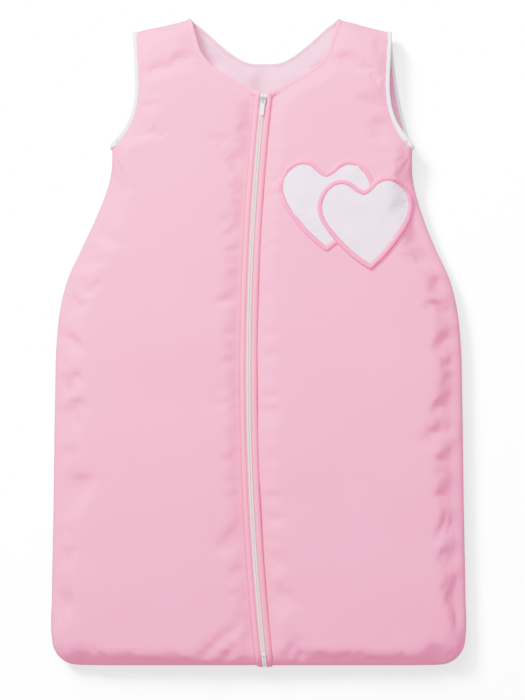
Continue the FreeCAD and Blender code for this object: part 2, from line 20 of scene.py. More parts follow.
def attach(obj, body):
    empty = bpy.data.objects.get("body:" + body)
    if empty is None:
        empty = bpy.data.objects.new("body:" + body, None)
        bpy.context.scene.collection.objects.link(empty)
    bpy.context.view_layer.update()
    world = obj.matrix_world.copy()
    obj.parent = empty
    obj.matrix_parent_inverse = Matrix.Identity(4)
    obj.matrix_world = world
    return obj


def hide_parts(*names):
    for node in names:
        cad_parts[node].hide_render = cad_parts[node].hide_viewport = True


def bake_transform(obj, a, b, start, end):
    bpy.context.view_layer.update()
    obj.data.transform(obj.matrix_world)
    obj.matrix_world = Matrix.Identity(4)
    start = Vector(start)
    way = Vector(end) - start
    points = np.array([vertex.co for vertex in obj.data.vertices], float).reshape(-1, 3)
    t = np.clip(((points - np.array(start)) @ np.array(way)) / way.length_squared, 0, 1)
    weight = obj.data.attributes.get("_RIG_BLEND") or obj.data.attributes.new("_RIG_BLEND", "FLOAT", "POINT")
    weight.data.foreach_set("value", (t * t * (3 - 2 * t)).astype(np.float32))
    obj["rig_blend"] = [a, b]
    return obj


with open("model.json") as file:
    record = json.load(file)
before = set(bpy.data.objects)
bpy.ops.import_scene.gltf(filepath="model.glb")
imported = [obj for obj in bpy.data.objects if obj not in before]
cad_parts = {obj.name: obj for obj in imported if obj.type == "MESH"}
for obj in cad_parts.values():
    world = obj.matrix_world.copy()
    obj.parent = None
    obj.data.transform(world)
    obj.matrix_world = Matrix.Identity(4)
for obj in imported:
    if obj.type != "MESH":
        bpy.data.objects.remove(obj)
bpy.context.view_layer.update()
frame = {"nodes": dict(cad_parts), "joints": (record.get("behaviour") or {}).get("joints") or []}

MM = 0.001
joints = {joint["name"]: joint for joint in frame["joints"]}

# %% [markdown]
# ## Materials
#
# `Graph` writes a node tree as ordinary Python. A `Value` is one socket: arithmetic on it adds Math nodes, so a
# pattern reads like its formula.


# %% Shader arithmetic
class Value:
    """One output socket of a node tree."""

    def __init__(self, graph, socket):
        self.graph, self.socket = graph, socket

    def math(self, operation, *others):
        return self.graph.node("ShaderNodeMath", {"operation": operation}, [self, *others])

    def __add__(self, other):
        return self.math("ADD", other)

    def __sub__(self, other):
        return self.math("SUBTRACT", other)

    def __mul__(self, other):
        return self.math("MULTIPLY", other)

    def __truediv__(self, other):
        return self.math("DIVIDE", other)

    def __pow__(self, other):
        return self.math("POWER", other)

    def __rsub__(self, other):
        return self.graph.node("ShaderNodeMath", {"operation": "SUBTRACT"}, [other, self])

    __radd__, __rmul__ = __add__, __mul__

    def sin(self):
        return self.math("SINE")

    def abs(self):
        return self.math("ABSOLUTE")


class Graph:
    """The node tree of one material."""

    def __init__(self, name):
        self.material = bpy.data.materials.new(name)
        self.material.use_nodes = True
        self.tree = self.material.node_tree
        self.shader = self.tree.nodes["Principled BSDF"]

    def node(self, kind, settings=None, inputs=(), output=0):
        """Adds any node. Inputs are a list in order, or a dictionary by name."""
        made = self.tree.nodes.new(kind)
        for key, setting in (settings or {}).items():
            setattr(made, key, setting)
        pairs = inputs.items() if isinstance(inputs, dict) else enumerate(inputs)
        for key, given in pairs:
            self.join(given, made.inputs[key])
        return Value(self, made.outputs[output])

    def join(self, given, socket):
        if isinstance(given, Value):
            self.tree.links.new(given.socket, socket)
        else:
            socket.default_value = given

    def set(self, **inputs):
        """Sets inputs of the shader. Underscores stand for spaces."""
        for name, given in inputs.items():
            self.join(given, self.shader.inputs[name.replace("_", " ")])
        return self.material

    def mix(self, factor, first, second):
        """A colour between two others."""
        settings = {"data_type": "RGBA", "blend_type": "MIX"}
        made = self.node("ShaderNodeMix", settings, {"Factor": factor}).socket.node
        self.join(first, made.inputs[6])
        self.join(second, made.inputs[7])
        return Value(self, made.outputs[2])

    def bump(self, height, distance, strength=1.0):
        return self.node("ShaderNodeBump", {}, {"Strength": strength, "Distance": distance, "Height": height})

    def noise(self, vector, scale, detail=2.0, roughness=0.5):
        inputs = {"Vector": vector, "Scale": scale, "Detail": detail, "Roughness": roughness}
        return self.node("ShaderNodeTexNoise", {}, inputs)

    def stretch(self, vector, factors):
        return self.node("ShaderNodeVectorMath", {"operation": "MULTIPLY"}, [vector, factors])

    def parts(self, vector):
        """The three numbers of a vector."""
        made = self.node("ShaderNodeSeparateXYZ", {}, [vector]).socket.node
        return [Value(self, socket) for socket in made.outputs]


def rgb(red, green, blue):
    """A colour from 8-bit screen values, as the shader wants it."""
    channels = [c / 255 for c in (red, green, blue)]
    return tuple(c / 12.92 if c <= 0.04045 else ((c + 0.055) / 1.055) ** 2.4 for c in channels) + (1.0,)


# %% [markdown]
# Cotton is a plain weave of fine threads. Some threads are thicker along their length, which shows as faint
# streaks, and the dye takes a little unevenly. The pattern reads the piece's own UV map, in metres of cloth.

# %% Cotton, thread, plastic and metal
THREAD_PITCH = 0.45 * MM


def cotton(name, light, dark, sheen, weave_depth=0.05, roughness=0.85):
    """Woven cotton between two colours."""
    graph = Graph(name)
    cloth = graph.node("ShaderNodeUVMap", {"uv_map": "cloth"})
    across, along, _ = graph.parts(cloth)
    turns = math.pi / THREAD_PITCH
    over, under = (across * turns).sin(), (along * turns).sin()
    weave = over * under * 0.5 + (over.abs() + under.abs()) * 0.25
    weft = graph.noise(graph.stretch(cloth, (18, 420, 1)), 1.0, 3.0)
    warp = graph.noise(graph.stretch(cloth, (380, 14, 1)), 1.0, 3.0)
    dye = graph.noise(cloth, 9.0, 3.0)
    streaks = weft * 0.6 + warp * 0.4
    shade = streaks * 0.55 + dye * 0.45
    colour = graph.mix(shade, dark, light)
    relief = weave * weave_depth + streaks * 0.35
    return graph.set(
        Base_Color=colour,
        Roughness=roughness - streaks * 0.1,
        Sheen_Weight=sheen,
        Sheen_Roughness=0.45,
        Normal=graph.bump(relief, 0.35 * MM, 0.5),
    )


def thread(name, light, dark, twist=900.0):
    """Glossy embroidery thread with fine strands."""
    graph = Graph(name)
    place = graph.node("ShaderNodeTexCoord", {}, output=3)
    fibre = graph.noise(place, twist, 2.0)
    tone = graph.noise(place, 60.0, 2.0)
    return graph.set(
        Base_Color=graph.mix(tone * 0.7 + fibre * 0.3, dark, light),
        Roughness=fibre * 0.2 + 0.38,
        Sheen_Weight=0.3,
        Normal=graph.bump(fibre, 0.1 * MM, 0.4),
    )


def plastic(name, light, dark):
    """Moulded nylon, a little uneven."""
    graph = Graph(name)
    place = graph.node("ShaderNodeTexCoord", {}, output=3)
    flow = graph.noise(place, 220.0, 2.0)
    return graph.set(
        Base_Color=graph.mix(flow, dark, light),
        Roughness=flow * 0.15 + 0.32,
        Subsurface_Weight=0.1,
        Subsurface_Scale=0.5 * MM,
        Normal=graph.bump(flow, 0.05 * MM, 0.3),
    )


def metal(name, light, dark, roughness, metallic):
    """Plated or enamelled metal with fine wear."""
    graph = Graph(name)
    place = graph.node("ShaderNodeTexCoord", {}, output=3)
    wear = graph.noise(place, 500.0, 4.0)
    return graph.set(
        Base_Color=graph.mix(wear, dark, light),
        Roughness=wear * 0.18 + roughness,
        Metallic=metallic,
        Coat_Weight=0.2,
        Normal=graph.bump(wear, 0.03 * MM, 0.25),
    )


PINK = cotton("pink_cotton", (0.95, 0.112, 0.395, 1), (0.86, 0.068, 0.285, 1), 0.1)
FACING = cotton("facing_cotton", (0.94, 0.09, 0.34, 1), (0.85, 0.055, 0.245, 1), 0.1)
LINING = cotton("lining_cotton", (0.90, 0.27, 0.55, 1), (0.77, 0.18, 0.42, 1), 0.1)
HEART = cotton("heart_cotton", (0.98, 0.66, 0.95, 1), (0.94, 0.56, 0.87, 1), 0.1)
BINDING = cotton("white_binding_cotton", (0.98, 0.92, 0.99, 1), (0.94, 0.84, 0.95, 1), 0.1)
NECKBAND = cotton("pink_binding_cotton", (0.97, 0.10, 0.38, 1), (0.92, 0.07, 0.30, 1), 0.1)
TAPE = cotton("zip_tape_weave", (0.92, 0.11, 0.36, 1), (0.84, 0.07, 0.28, 1), 0.1, 0.12)
FIBRE = cotton("wadding_fibre", rgb(250, 250, 248), rgb(232, 232, 230), 0.5, 0.3, 0.95)
SATIN = thread("satin_stitch_thread", (0.97, 0.035, 0.36, 1), (0.90, 0.02, 0.27, 1))
# The pink sewing thread is darker than the cloth: its own colour plus painted shade of the groove the stitching
# presses in.
PINK_THREAD_AND_GROOVE_SHADE = thread("pink_thread_with_painted_groove_shade", (0.74, 0.045, 0.22, 1), (0.60, 0.03, 0.16, 1))
WHITE_THREAD = thread("white_sewing_thread", rgb(250, 246, 250), rgb(228, 220, 230))
COIL = plastic("coil_nylon", rgb(255, 253, 255), rgb(238, 230, 242))
SILVER = metal("slider_plating", rgb(124, 124, 132), rgb(78, 78, 86), 0.3, 1.0)
STOP = metal("stop_plating", rgb(246, 244, 248), rgb(228, 226, 232), 0.3, 0.1)
ENAMEL = metal("pull_enamel", rgb(252, 250, 252), rgb(240, 236, 242), 0.18, 0.0)
print("materials:", len(bpy.data.materials))

# %% [markdown]
# ## The cut of the bag
#
# Each edge is a smooth curve through a few points, given for the right half. `shift` moves the chest and the
# shoulders to the side a little, because the bag lies slightly askew.


# %% Edges of the pattern pieces
def lengths(line):
    """How far along a line each of its points is."""
    return np.concatenate([[0], np.cumsum(np.linalg.norm(np.diff(line, axis=0), axis=1))])


def curve(points, step=2.0):
    """A smooth line through points, as points about every step."""
    p = np.array(points, float)
    t = lengths(p)
    slope = np.gradient(p, t, axis=0)
    fine = np.linspace(0, t[-1], max(2, int(t[-1] / step) + 1))
    i = np.clip(np.searchsorted(t, fine, side="right") - 1, 0, len(t) - 2)
    gap = (t[i + 1] - t[i])[:, None]
    s = (fine - t[i])[:, None] / gap
    start = (2 * s**3 - 3 * s**2 + 1) * p[i] + (s**3 - 2 * s**2 + s) * gap * slope[i]
    return start + (3 * s**2 - 2 * s**3) * p[i + 1] + (s**3 - s**2) * gap * slope[i + 1]


def ease(t):
    """0 before 0, 1 after 1, smooth between."""
    t = np.clip(t, 0, 1)
    return t * t * (3 - 2 * t)


HALF = 450.0
SIDE = [
    (247, -450), (263, -447.5), (277, -439), (286, -425), (289, -406), (288.5, -356), (286, -218),
    (284, -80), (281.5, 3), (276, 50), (266, 88), (248, 127), (230, 168), (219, 197), (211.5, 224),
    (208.5, 250), (208.5, 272),
]
ARMHOLE = [(208.5, 272), (197, 285), (187, 300), (179, 320), (175, 345), (175.5, 380), (179, 431)]
FRONT_NECK = [
    (0, 341), (22, 351), (46, 364), (66, 376.5), (80, 389), (89, 402), (95, 421), (99.5, 437), (103, 449),
]
BACK_NECK = [(0, 388), (24, 390.5), (42, 400), (59, 413), (77, 429), (91, 441), (103, 449)]
TOP_SHIFT, NECK_SHIFT = 5.0, 8.0
ARMPIT, TIP = 272.0, 431.0
SIGN = {"left": -1, "right": 1}


OUTLINE = np.concatenate([curve(SIDE), curve(ARMHOLE)[1:]])
BACK_ARMHOLE = [(208.5, 272), (204.5, 285), (199, 306), (190.5, 345), (184, 389), (180, 431)]


def outer_edge(side, face="front"):
    """From the hem up the side, round the armhole to the shoulder tip. The back shows past the right armhole."""
    x, y = OUTLINE.T
    if face == "back" and side == "right":
        wide = curve(BACK_ARMHOLE)
        x = np.where(y > ARMPIT, np.interp(y, wide[:, 1], wide[:, 0]), x)
    return np.stack([SIGN[side] * x + TOP_SHIFT * ease((y - 120) / 150), y], axis=1)


def neck_edge(side, points):
    line = curve(points)
    return np.stack([SIGN[side] * line[:, 0] + NECK_SHIFT, line[:, 1]], axis=1)


ZIP_TOP, ZIP_BOTTOM, ZIP_X, ZIP_BOW = 342.0, -432.0, 7.0, 20.7
ZIP_MIDDLE, ZIP_HALF = (ZIP_TOP + ZIP_BOTTOM) / 2, (ZIP_TOP - ZIP_BOTTOM) / 2
ZIP_RADIUS = (ZIP_HALF**2 + ZIP_BOW**2) / (2 * ZIP_BOW)
ZIP_CENTRE = ZIP_X - ZIP_BOW + ZIP_RADIUS
SLOT = 9.8


def zip_x(y, off=0.0):
    """Where the zip's line is at a height, or a line beside it, off to the right."""
    return ZIP_CENTRE - np.sqrt((ZIP_RADIUS - off) ** 2 - (y - ZIP_MIDDLE) ** 2)


def inner_parts(side, face):
    """The edge up the zip, or up the middle of the back, and then the edge round the neck to its corner."""
    if face == "front":
        neck = neck_edge(side, FRONT_NECK)
        slot = zip_x(neck[:, 1], SIGN[side] * SLOT)
        neck = neck[(neck[:, 0] - slot) * SIGN[side] > 0]
        low = np.linspace(-HALF, neck[0, 1], 200)
        straight = np.stack([zip_x(low, SIGN[side] * SLOT), low], axis=1)
    else:
        neck = neck_edge(side, BACK_NECK)
        low = np.linspace(-HALF, neck[0, 1], 200)
        straight = np.stack([np.full(len(low), NECK_SHIFT), low], axis=1)
    return straight, neck


def inner_edge(side, face):
    return np.concatenate(inner_parts(side, face))


def closed_seams(side, face="front"):
    """The seams that join front and back on one side: hem, side and shoulder."""
    line = outer_edge(side, face)
    corner = neck_edge(side, FRONT_NECK)[-1]
    tip = line[-1]
    hem = np.array([[NECK_SHIFT - 40 * SIGN[side], -HALF], line[0]])
    return [hem, line[line[:, 1] <= ARMPIT + 1], np.array([tip, corner])]


def distance(points, lines):
    """How far each point is from the nearest of some lines."""
    best = np.full(points.shape[:-1], 1e9)
    for line in lines:
        for a, b in zip(line[:-1], line[1:]):
            d = b - a
            t = np.clip(((points - a) @ d) / max(d @ d, 1e-9), 0, 1)
            best = np.minimum(best, np.linalg.norm(points - a - t[..., None] * d, axis=-1))
    return best


NECK_ROWS = {"front": 318.0, "back": 352.0}


def lattice(side, face, rows, columns):
    """A grid over one pattern piece, from its outer edge to its inner one, dense near the seams."""
    outer = outer_edge(side, face)
    straight, neck = inner_parts(side, face)
    along = lengths(OUTLINE)
    at = along[-1] * (1 - (1 - np.linspace(0, 1, rows)) ** 1.25)
    first = np.stack([np.interp(at, along, outer[:, k]) for k in (0, 1)], axis=1)
    last = np.stack([np.interp(first[:, 1], straight[:, 1], straight[:, k]) for k in (0, 1)], axis=1)
    begin = NECK_ROWS[face]
    above = first[:, 1] > begin
    round_neck = lengths(neck)
    share = (first[above, 1] - begin) / (TIP - begin)
    last[above] = np.stack([np.interp(share * round_neck[-1], round_neck, neck[:, k]) for k in (0, 1)], axis=1)
    below = ~above
    stretch = (first[below, 1] + HALF) / (begin + HALF)
    low = -HALF + stretch * (straight[-1, 1] + HALF)
    last[below] = np.stack([np.interp(low, straight[:, 1], straight[:, k]) for k in (0, 1)], axis=1)
    share = (np.linspace(0, 1, columns) ** 1.45)[None, :, None]
    return first[:, None] * (1 - share) + last[:, None] * share


print("outline:", len(outer_edge("left")), "points a side, zip radius", round(ZIP_RADIUS), "mm")

# %% [markdown]
# ## Padded panels
#
# A panel is a closed pad: shell outside, lining inside, thin where it is sewn. It starts flat and a little
# slack. Cloth simulation blows it up against its seams, which draws the cloth into soft wrinkles there.

# %% Shape of a panel before it is filled
SEAM_Z, FRONT_Z, BACK_Z, LOWEST = 20.0, 46.0, 0.6, 0.2
SIDE_ROUND, HEM_ROUND, BACK_ROUND = 54.0, 34.0, 34.0
PAD, PAD_AT_SEAM, PAD_AT_EDGE = 9.5, 0.9, 4.2


def pillow(t, power=2.3):
    """How high a filled pad stands, from its seam at 0 to its flat middle at 1."""
    return (1 - (1 - np.clip(t, 0, 1)) ** power) ** (1 / power)


def waves(points, seed, length, count=14):
    """Smooth unevenness: a sum of sine waves in chosen directions, about -1 to 1."""
    draw = np.random.default_rng(seed)
    total = np.zeros(points.shape[:-1])
    for _ in range(count):
        angle, phase = draw.uniform(0, math.pi), draw.uniform(0, 2 * math.pi)
        k = 2 * math.pi / (length * draw.uniform(0.6, 1.6))
        total += np.sin(k * (points[..., 0] * math.cos(angle) + points[..., 1] * math.sin(angle)) + phase)
    return total / math.sqrt(count)


def heights(plan, side, face):
    """The outer surface of a panel over its plan, and how thick the pad is there."""
    hem, flank, shoulder = (distance(plan, [line]) for line in closed_seams(side, face))
    seam = np.minimum(np.minimum(hem, flank), shoulder)
    corner = OUTLINE[np.argmax(OUTLINE[:, 1] >= ARMPIT)] * [SIGN[side], 1] + [TOP_SHIFT, 0]
    armpit = np.linalg.norm(plan - corner, axis=-1)
    seam_z = SEAM_Z + 13.0 * np.exp(-((armpit / 32) ** 2))
    outer, inner = outer_edge(side, face), inner_edge(side, face)
    armhole = outer[outer[:, 1] >= ARMPIT]
    start = ARMPIT if face == "back" else -HALF
    opening = distance(plan, [armhole, inner[inner[:, 1] >= start]])
    if face == "front":
        side_round = SIDE_ROUND * (1 - 0.72 * np.exp(-((armpit / 55) ** 2)))
        rise = pillow(hem / HEM_ROUND) * pillow(np.minimum(flank, shoulder) / side_round)
        swell = waves(plan, 7 if side == "left" else 8, 190.0) * 0.9 * ease(seam / 90)
        dip = 3.4 * (1 - ease(opening / 16)) * ease(seam / 40)
        z = seam_z + (FRONT_Z - seam_z) * rise + swell - dip
    else:
        z = seam_z - (seam_z - BACK_Z) * pillow(seam / BACK_ROUND)
    pad = PAD_AT_SEAM + (PAD - PAD_AT_SEAM) * ease(seam / 34)
    pad = np.minimum(pad, PAD_AT_EDGE + (PAD - PAD_AT_EDGE) * ease(opening / 26))
    return z, pad


def quads(rows, columns, flip):
    a = np.arange(rows * columns).reshape(rows, columns)
    faces = np.stack([a[:-1, :-1], a[:-1, 1:], a[1:, 1:], a[1:, :-1]], axis=-1).reshape(-1, 4)
    return faces[:, ::-1] if flip else faces


def normals(points, faces):
    """The unit normal at each point."""
    a, b, c, d = (points[faces[:, k]] for k in range(4))
    face = np.cross(c - a, d - b)
    total = np.zeros_like(points)
    for k in range(4):
        np.add.at(total, faces[:, k], face)
    return total / np.maximum(np.linalg.norm(total, axis=1), 1e-12)[:, None]


def weld(parts, near=0.05):
    """Joins lists of (points, faces) into one, and merges points that coincide."""
    points = np.concatenate([p for p, _ in parts])
    offsets = np.cumsum([0] + [len(p) for p, _ in parts[:-1]])
    faces = np.concatenate([f + o for (_, f), o in zip(parts, offsets)])
    _, first, back = np.unique(np.round(points / near), axis=0, return_index=True, return_inverse=True)
    back = back.reshape(-1)
    faces = back[faces]
    ring = np.stack([np.sort(faces, axis=1)[:, k] for k in range(4)], axis=1)
    whole = (np.diff(ring, axis=1) > 0).all(axis=1)
    return points[first], faces[whole], back


def rim(faces):
    """The edges that only one face uses, in that face's direction."""
    edges = np.concatenate([faces[:, [k, (k + 1) % 4]] for k in range(4)])
    key = np.sort(edges, axis=1)
    _, index, count = np.unique(key, axis=0, return_index=True, return_counts=True)
    return edges[index[count == 1]]


def mesh_object(name, points, faces, materials=(), uv=None):
    """An object from points in millimetres. uv is a pair for each point, in metres of cloth."""
    mesh = bpy.data.meshes.new(name)
    mesh.from_pydata((np.asarray(points) * MM).tolist(), [], [list(map(int, f)) for f in faces])
    mesh.validate()
    made = bpy.data.objects.new(name, mesh)
    bpy.context.scene.collection.objects.link(made)
    for material in materials:
        mesh.materials.append(material)
    mesh.shade_smooth()
    if uv is not None:
        layer = mesh.uv_layers.new(name="cloth")
        corner = np.zeros(len(mesh.loops), np.int32)
        mesh.loops.foreach_get("vertex_index", corner)
        layer.data.foreach_set("uv", np.asarray(uv, np.float32)[corner].ravel())
    return made


# %% [markdown]
# The pad is simulated on a coarse grid. What the simulation moves is then read back onto a grid twice as fine,
# so that the small puckers beside the stitching have room.

# %% Fill the pads
FRONT_GRID, BACK_GRID = (112, 38), (72, 24)
PRESSURE, SLACK, HOLD, FRAMES, MOVE_CAP = 4.0, 0.03, 0.06, 20, 6.0


def fill(points, faces, pads):
    """Simulates a closed pad, and returns how far its outer and inner points move."""
    out = normals(points, faces)
    inside = points - out * pads[:, None]
    count = len(points)
    edge = rim(faces)
    walls = np.stack([edge[:, 1], edge[:, 0], edge[:, 0] + count, edge[:, 1] + count], axis=1)
    body = np.concatenate([faces, faces[:, ::-1] + count, walls])
    start = np.concatenate([points, inside])
    pad = mesh_object("pad", start, body)
    group = pad.vertex_groups.new(name="sewn")
    group.add(list(range(2 * count)), HOLD, "REPLACE")
    group.add([int(i) for i in np.unique(np.concatenate([edge, edge + count]))], 1.0, "REPLACE")
    cloth = pad.modifiers.new("cloth", "CLOTH")
    settings = cloth.settings
    settings.quality, settings.mass, settings.air_damping = 6, 0.15, 2.0
    settings.tension_stiffness = settings.compression_stiffness = 20
    settings.shear_stiffness, settings.bending_stiffness = 8, 0.4
    settings.vertex_group_mass, settings.pin_stiffness = "sewn", 1.0
    settings.shrink_min = -SLACK
    settings.use_pressure, settings.uniform_pressure_force = True, PRESSURE
    settings.effector_weights.gravity = 0
    cloth.point_cache.frame_start, cloth.point_cache.frame_end = 1, FRAMES
    for number in range(1, FRAMES + 1):
        bpy.context.scene.frame_set(number)
    shown = pad.evaluated_get(bpy.context.evaluated_depsgraph_get()).to_mesh()
    end = np.zeros(len(shown.vertices) * 3, np.float32)
    shown.vertices.foreach_get("co", end)
    bpy.context.scene.frame_set(1)
    bpy.data.objects.remove(pad)
    move = end.reshape(-1, 3) / MM - start
    far = np.linalg.norm(move, axis=1, keepdims=True)
    move *= np.minimum(1, MOVE_CAP / np.maximum(far, 1e-9))
    print("  filled a pad of", count, "points; it moved up to", round(float(far.max()), 1), "mm,",
          "typically", round(float(np.median(far)), 1))
    return move[:count], move[count:]


def finer(field, rows, columns):
    """A field on a grid, read at more rows and columns."""
    r = np.linspace(0, field.shape[0] - 1, rows)
    c = np.linspace(0, field.shape[1] - 1, columns)
    i, j = np.minimum(r.astype(int), field.shape[0] - 2), np.minimum(c.astype(int), field.shape[1] - 2)
    u, v = (r - i)[:, None, None], (c - j)[None, :, None]
    f00, f01 = field[i][:, j], field[i][:, j + 1]
    f10, f11 = field[i + 1][:, j], field[i + 1][:, j + 1]
    return (f00 * (1 - v) + f01 * v) * (1 - u) + (f10 * (1 - v) + f11 * v) * u


def piece(side, face, rows, columns):
    """The points of one pattern piece before filling, its faces and its pad thickness."""
    plan = lattice(side, face, rows, columns)
    z, pad = heights(plan, side, face)
    points = np.concatenate([plan, z[..., None]], axis=-1).reshape(-1, 3)
    faces = quads(rows, columns, False)
    up = normals(points, faces)[:, 2].mean()
    if (up > 0) != (face == "front"):
        faces = faces[:, ::-1]
    return points, faces, pad.reshape(-1)


def puckers(plan, side, face):
    """Small gathers, in millimetres outwards: across the zip's seams, round the armpit and at the side."""
    x, y = plan[..., 0], plan[..., 1]
    sign = SIGN[side]
    if face == "back":
        slack = np.sin((x * 0.8 + y * 0.6) / 8.5 + 1.2 * np.sin((x * 0.6 - y * 0.8) / 38.0))
        corner = np.exp(-(((x + 85) / 26) ** 2) - ((y - 418) / 24) ** 2)
        crumple = np.sin((x * 0.35 + y) / 2.7 + np.sin(x / 7.0)) * corner
        return -(0.8 * slack * ease((y - 250) / 60) * ease((200 - np.abs(x)) / 40) + 1.1 * crumple)
    to_zip = (x - zip_x(y)) * sign - SLOT
    unit = waves(np.stack([x * 0.25, y], axis=-1), 21 + sign, 11.0, 9)
    patch = ease(0.5 + 0.9 * waves(plan, 31 + sign, 110.0, 6))
    rows = unit * 0.8 * patch * np.exp(-np.maximum(to_zip, 0) / 9.0) * ease(to_zip / 3.0)
    armpit = np.stack([x - sign * 208 - TOP_SHIFT, y - ARMPIT + 8], axis=-1)
    reach = np.linalg.norm(armpit, axis=-1)
    fan = np.sin(np.arctan2(armpit[..., 1], -armpit[..., 0] * sign) * 13 + 0.6 * np.sin(reach / 16))
    folds = fan * 1.0 * np.exp(-reach / 42.0) * ease(reach / 18.0)
    slant = (x * sign * 0.55 - y * 0.83 + 0.4 * sign * y) / 21.0
    low = np.exp(-(((x * sign - 238) / 26) ** 2) - ((y + 300) / 85) ** 2)
    creases = np.sin(slant + 0.8 * np.sin(x / 23.0)) * 0.9 * low
    return rows + folds + creases


def border_calm(plan, side, face):
    """0 along the sewn and bound edges, 1 away from them."""
    outer, inner = outer_edge(side, face), inner_edge(side, face)
    armhole = outer[outer[:, 1] >= ARMPIT]
    openings = [armhole, inner[inner[:, 1] >= (ARMPIT if face == "back" else -HALF)]]
    return ease(distance(plan, openings) / 26) * ease(distance(plan, closed_seams(side, face)) / 16)


def panel(sides, face, grid):
    """A filled panel: points outside and inside, faces, cloth coordinates, and each side's grid of point numbers."""
    rows, columns = grid
    coarse = [piece(side, face, rows, columns) for side in sides]
    points, faces, back = weld([(p, f) for p, f, _ in coarse])
    pads = np.zeros(len(points))
    pads[back] = np.concatenate([t for _, _, t in coarse])
    moves = fill(points, faces, pads)
    fine_rows, fine_columns = 2 * rows - 1, 2 * columns - 1
    fine, shifts, extra, start = [], [[], []], [], 0
    for side, (p, _, _) in zip(sides, coarse):
        own = back[start : start + len(p)]
        start += len(p)
        fine.append(piece(side, face, fine_rows, fine_columns))
        extra.append(puckers(fine[-1][0][:, :2], side, face))
        for k in (0, 1):
            field = moves[k][own].reshape(rows, columns, 3)
            shifts[k].append(finer(field, fine_rows, fine_columns).reshape(-1, 3))
    points, faces, back = weld([(p, f) for p, f, _ in fine])
    pads, lift, moved = np.zeros(len(points)), np.zeros(len(points)), np.zeros((2, len(points), 3))
    pads[back] = np.concatenate([t for _, _, t in fine])
    lift[back] = np.concatenate(extra)
    for k in (0, 1):
        moved[k][back] = np.concatenate(shifts[k])
    out = normals(points, faces)
    calm = np.concatenate([border_calm(f[0][:, :2], side, face) for side, f in zip(sides, fine)])
    fade = np.zeros(len(points))
    fade[back] = calm
    seen = moved[0 if face == "front" else 1] * fade[:, None] + out * lift[:, None]
    outside, inside = points + seen, points - out * pads[:, None] + seen
    if face == "back":
        outside[:, 2] = np.maximum(outside[:, 2], LOWEST)
    count = fine_rows * fine_columns
    grids = {s: back[k * count : (k + 1) * count].reshape(fine_rows, fine_columns) for k, s in enumerate(sides)}
    return {"out": outside, "in": inside, "faces": faces, "uv": points[:, :2] * MM, "grid": grids, "pad": pads}


panels = {
    "left": panel(["left"], "front", FRONT_GRID),
    "right": panel(["right"], "front", FRONT_GRID),
    "back": panel(["left", "right"], "back", BACK_GRID),
}
print("panels:", {name: len(p["out"]) for name, p in panels.items()})

# %% [markdown]
# ## Shell, wadding and lining
#
# Each panel becomes three pieces. The shell and the lining are sheets with a thickness. The wadding is a closed
# body between them, and stops short of the seams.
#
# The front's inner part folds back when the zip opens. `hang` gives a piece the bend that the CAD's fold joint
# has: it stays with the bag up to the fold line, and with the lapel from `FOLD_WIDTH` past it.

# %% Cloth pieces
FABRIC = 0.6
FOLD_WIDTH = 24.0
SEAM_ALLOWANCE = 15.0


def fold_line(side):
    """A point on the lapel's fold line, and the direction from it towards the zip."""
    joint = joints[side + "_lapel_fold"]
    point, axis = np.array(joint["pos_m"]), np.array(joint["axis"])
    towards = np.array([axis[1], -axis[0], 0.0])
    towards *= -SIGN[side] * np.sign(towards[0])
    return point, towards / np.linalg.norm(towards)


def hang(made, side):
    """Lets a piece of the front bend at its side's fold line. side None keeps it on the bag."""
    if side is None:
        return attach(made, "bag")
    point, towards = fold_line(side)
    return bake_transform(made, "bag", side + "_lapel", tuple(point), tuple(point + towards * FOLD_WIDTH * MM))


def thicken(made, thickness, offset=-1.0):
    wall = made.modifiers.new("cloth thickness", "SOLIDIFY")
    wall.thickness, wall.offset, wall.use_even_offset = thickness * MM, offset, False
    return made


def cut(plan, edge, allowance=SEAM_ALLOWANCE):
    """The size and the area of a pattern piece in metres: its plan, with the seam allowance all round."""
    start, end = plan[edge[:, 0]], plan[edge[:, 1]]
    inside = abs(float((start[:, 0] * end[:, 1] - start[:, 1] * end[:, 0]).sum() / 2))
    round_it = float(np.linalg.norm(end - start, axis=1).sum())
    size = np.ptp(plan, axis=0) + 2 * allowance * MM
    return (float(size[0]), float(size[1])), inside + round_it * allowance * MM


def dress(name, part):
    """Makes the shell, the lining and the wadding of one panel."""
    side = None if name == "back" else name
    label = "back" if name == "back" else "front_" + name
    nodes = {k: [label + "_" + k] + ([] if side is None else ["lapel_" + side + "_" + k])
             for k in ("shell", "lining", "wadding")}
    size, flat_area = cut(part["uv"], rim(part["faces"]))
    made = {
        "shell": mesh_object(label + "_shell_cloth", part["out"], part["faces"], [PINK], part["uv"]),
        "lining": mesh_object(label + "_lining_cloth", part["in"], part["faces"][:, ::-1], [LINING], part["uv"]),
    }
    for kind, sheet in made.items():
        thicken(sheet, FABRIC)
    thick = part["pad"][part["faces"]].min(axis=1) > 3.2
    faces = part["faces"][thick]
    used, renumbered = np.unique(faces, return_inverse=True)
    faces = renumbered.reshape(faces.shape)
    towards_lining = part["in"][used] - part["out"][used]
    depth = np.linalg.norm(towards_lining, axis=1, keepdims=True)
    inset = towards_lining / depth * (FABRIC + 0.5)
    top, bottom = part["out"][used] + inset, part["in"][used] - inset
    edge, count = rim(faces), len(used)
    walls = np.stack([edge[:, 1], edge[:, 0], edge[:, 0] + count, edge[:, 1] + count], axis=1)
    made["wadding"] = mesh_object(label + "_wadding_fill", np.concatenate([top, bottom]),
                                  np.concatenate([faces, faces[:, ::-1] + count, walls]), [FIBRE],
                                  np.concatenate([part["uv"][used]] * 2))
    for kind, cloth in made.items():
        hang(cloth, side)
        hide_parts(*nodes[kind])
    return made


clothes = {name: dress(name, part) for name, part in panels.items()}
print("cloth pieces:", [o.name for made in clothes.values() for o in made.values()])

# %% [markdown]
# ## Laying things on the cloth
#
# `Surface` finds the shell under any point, and the way it faces. Hearts, stitches and the zip's strips are laid
# on it.


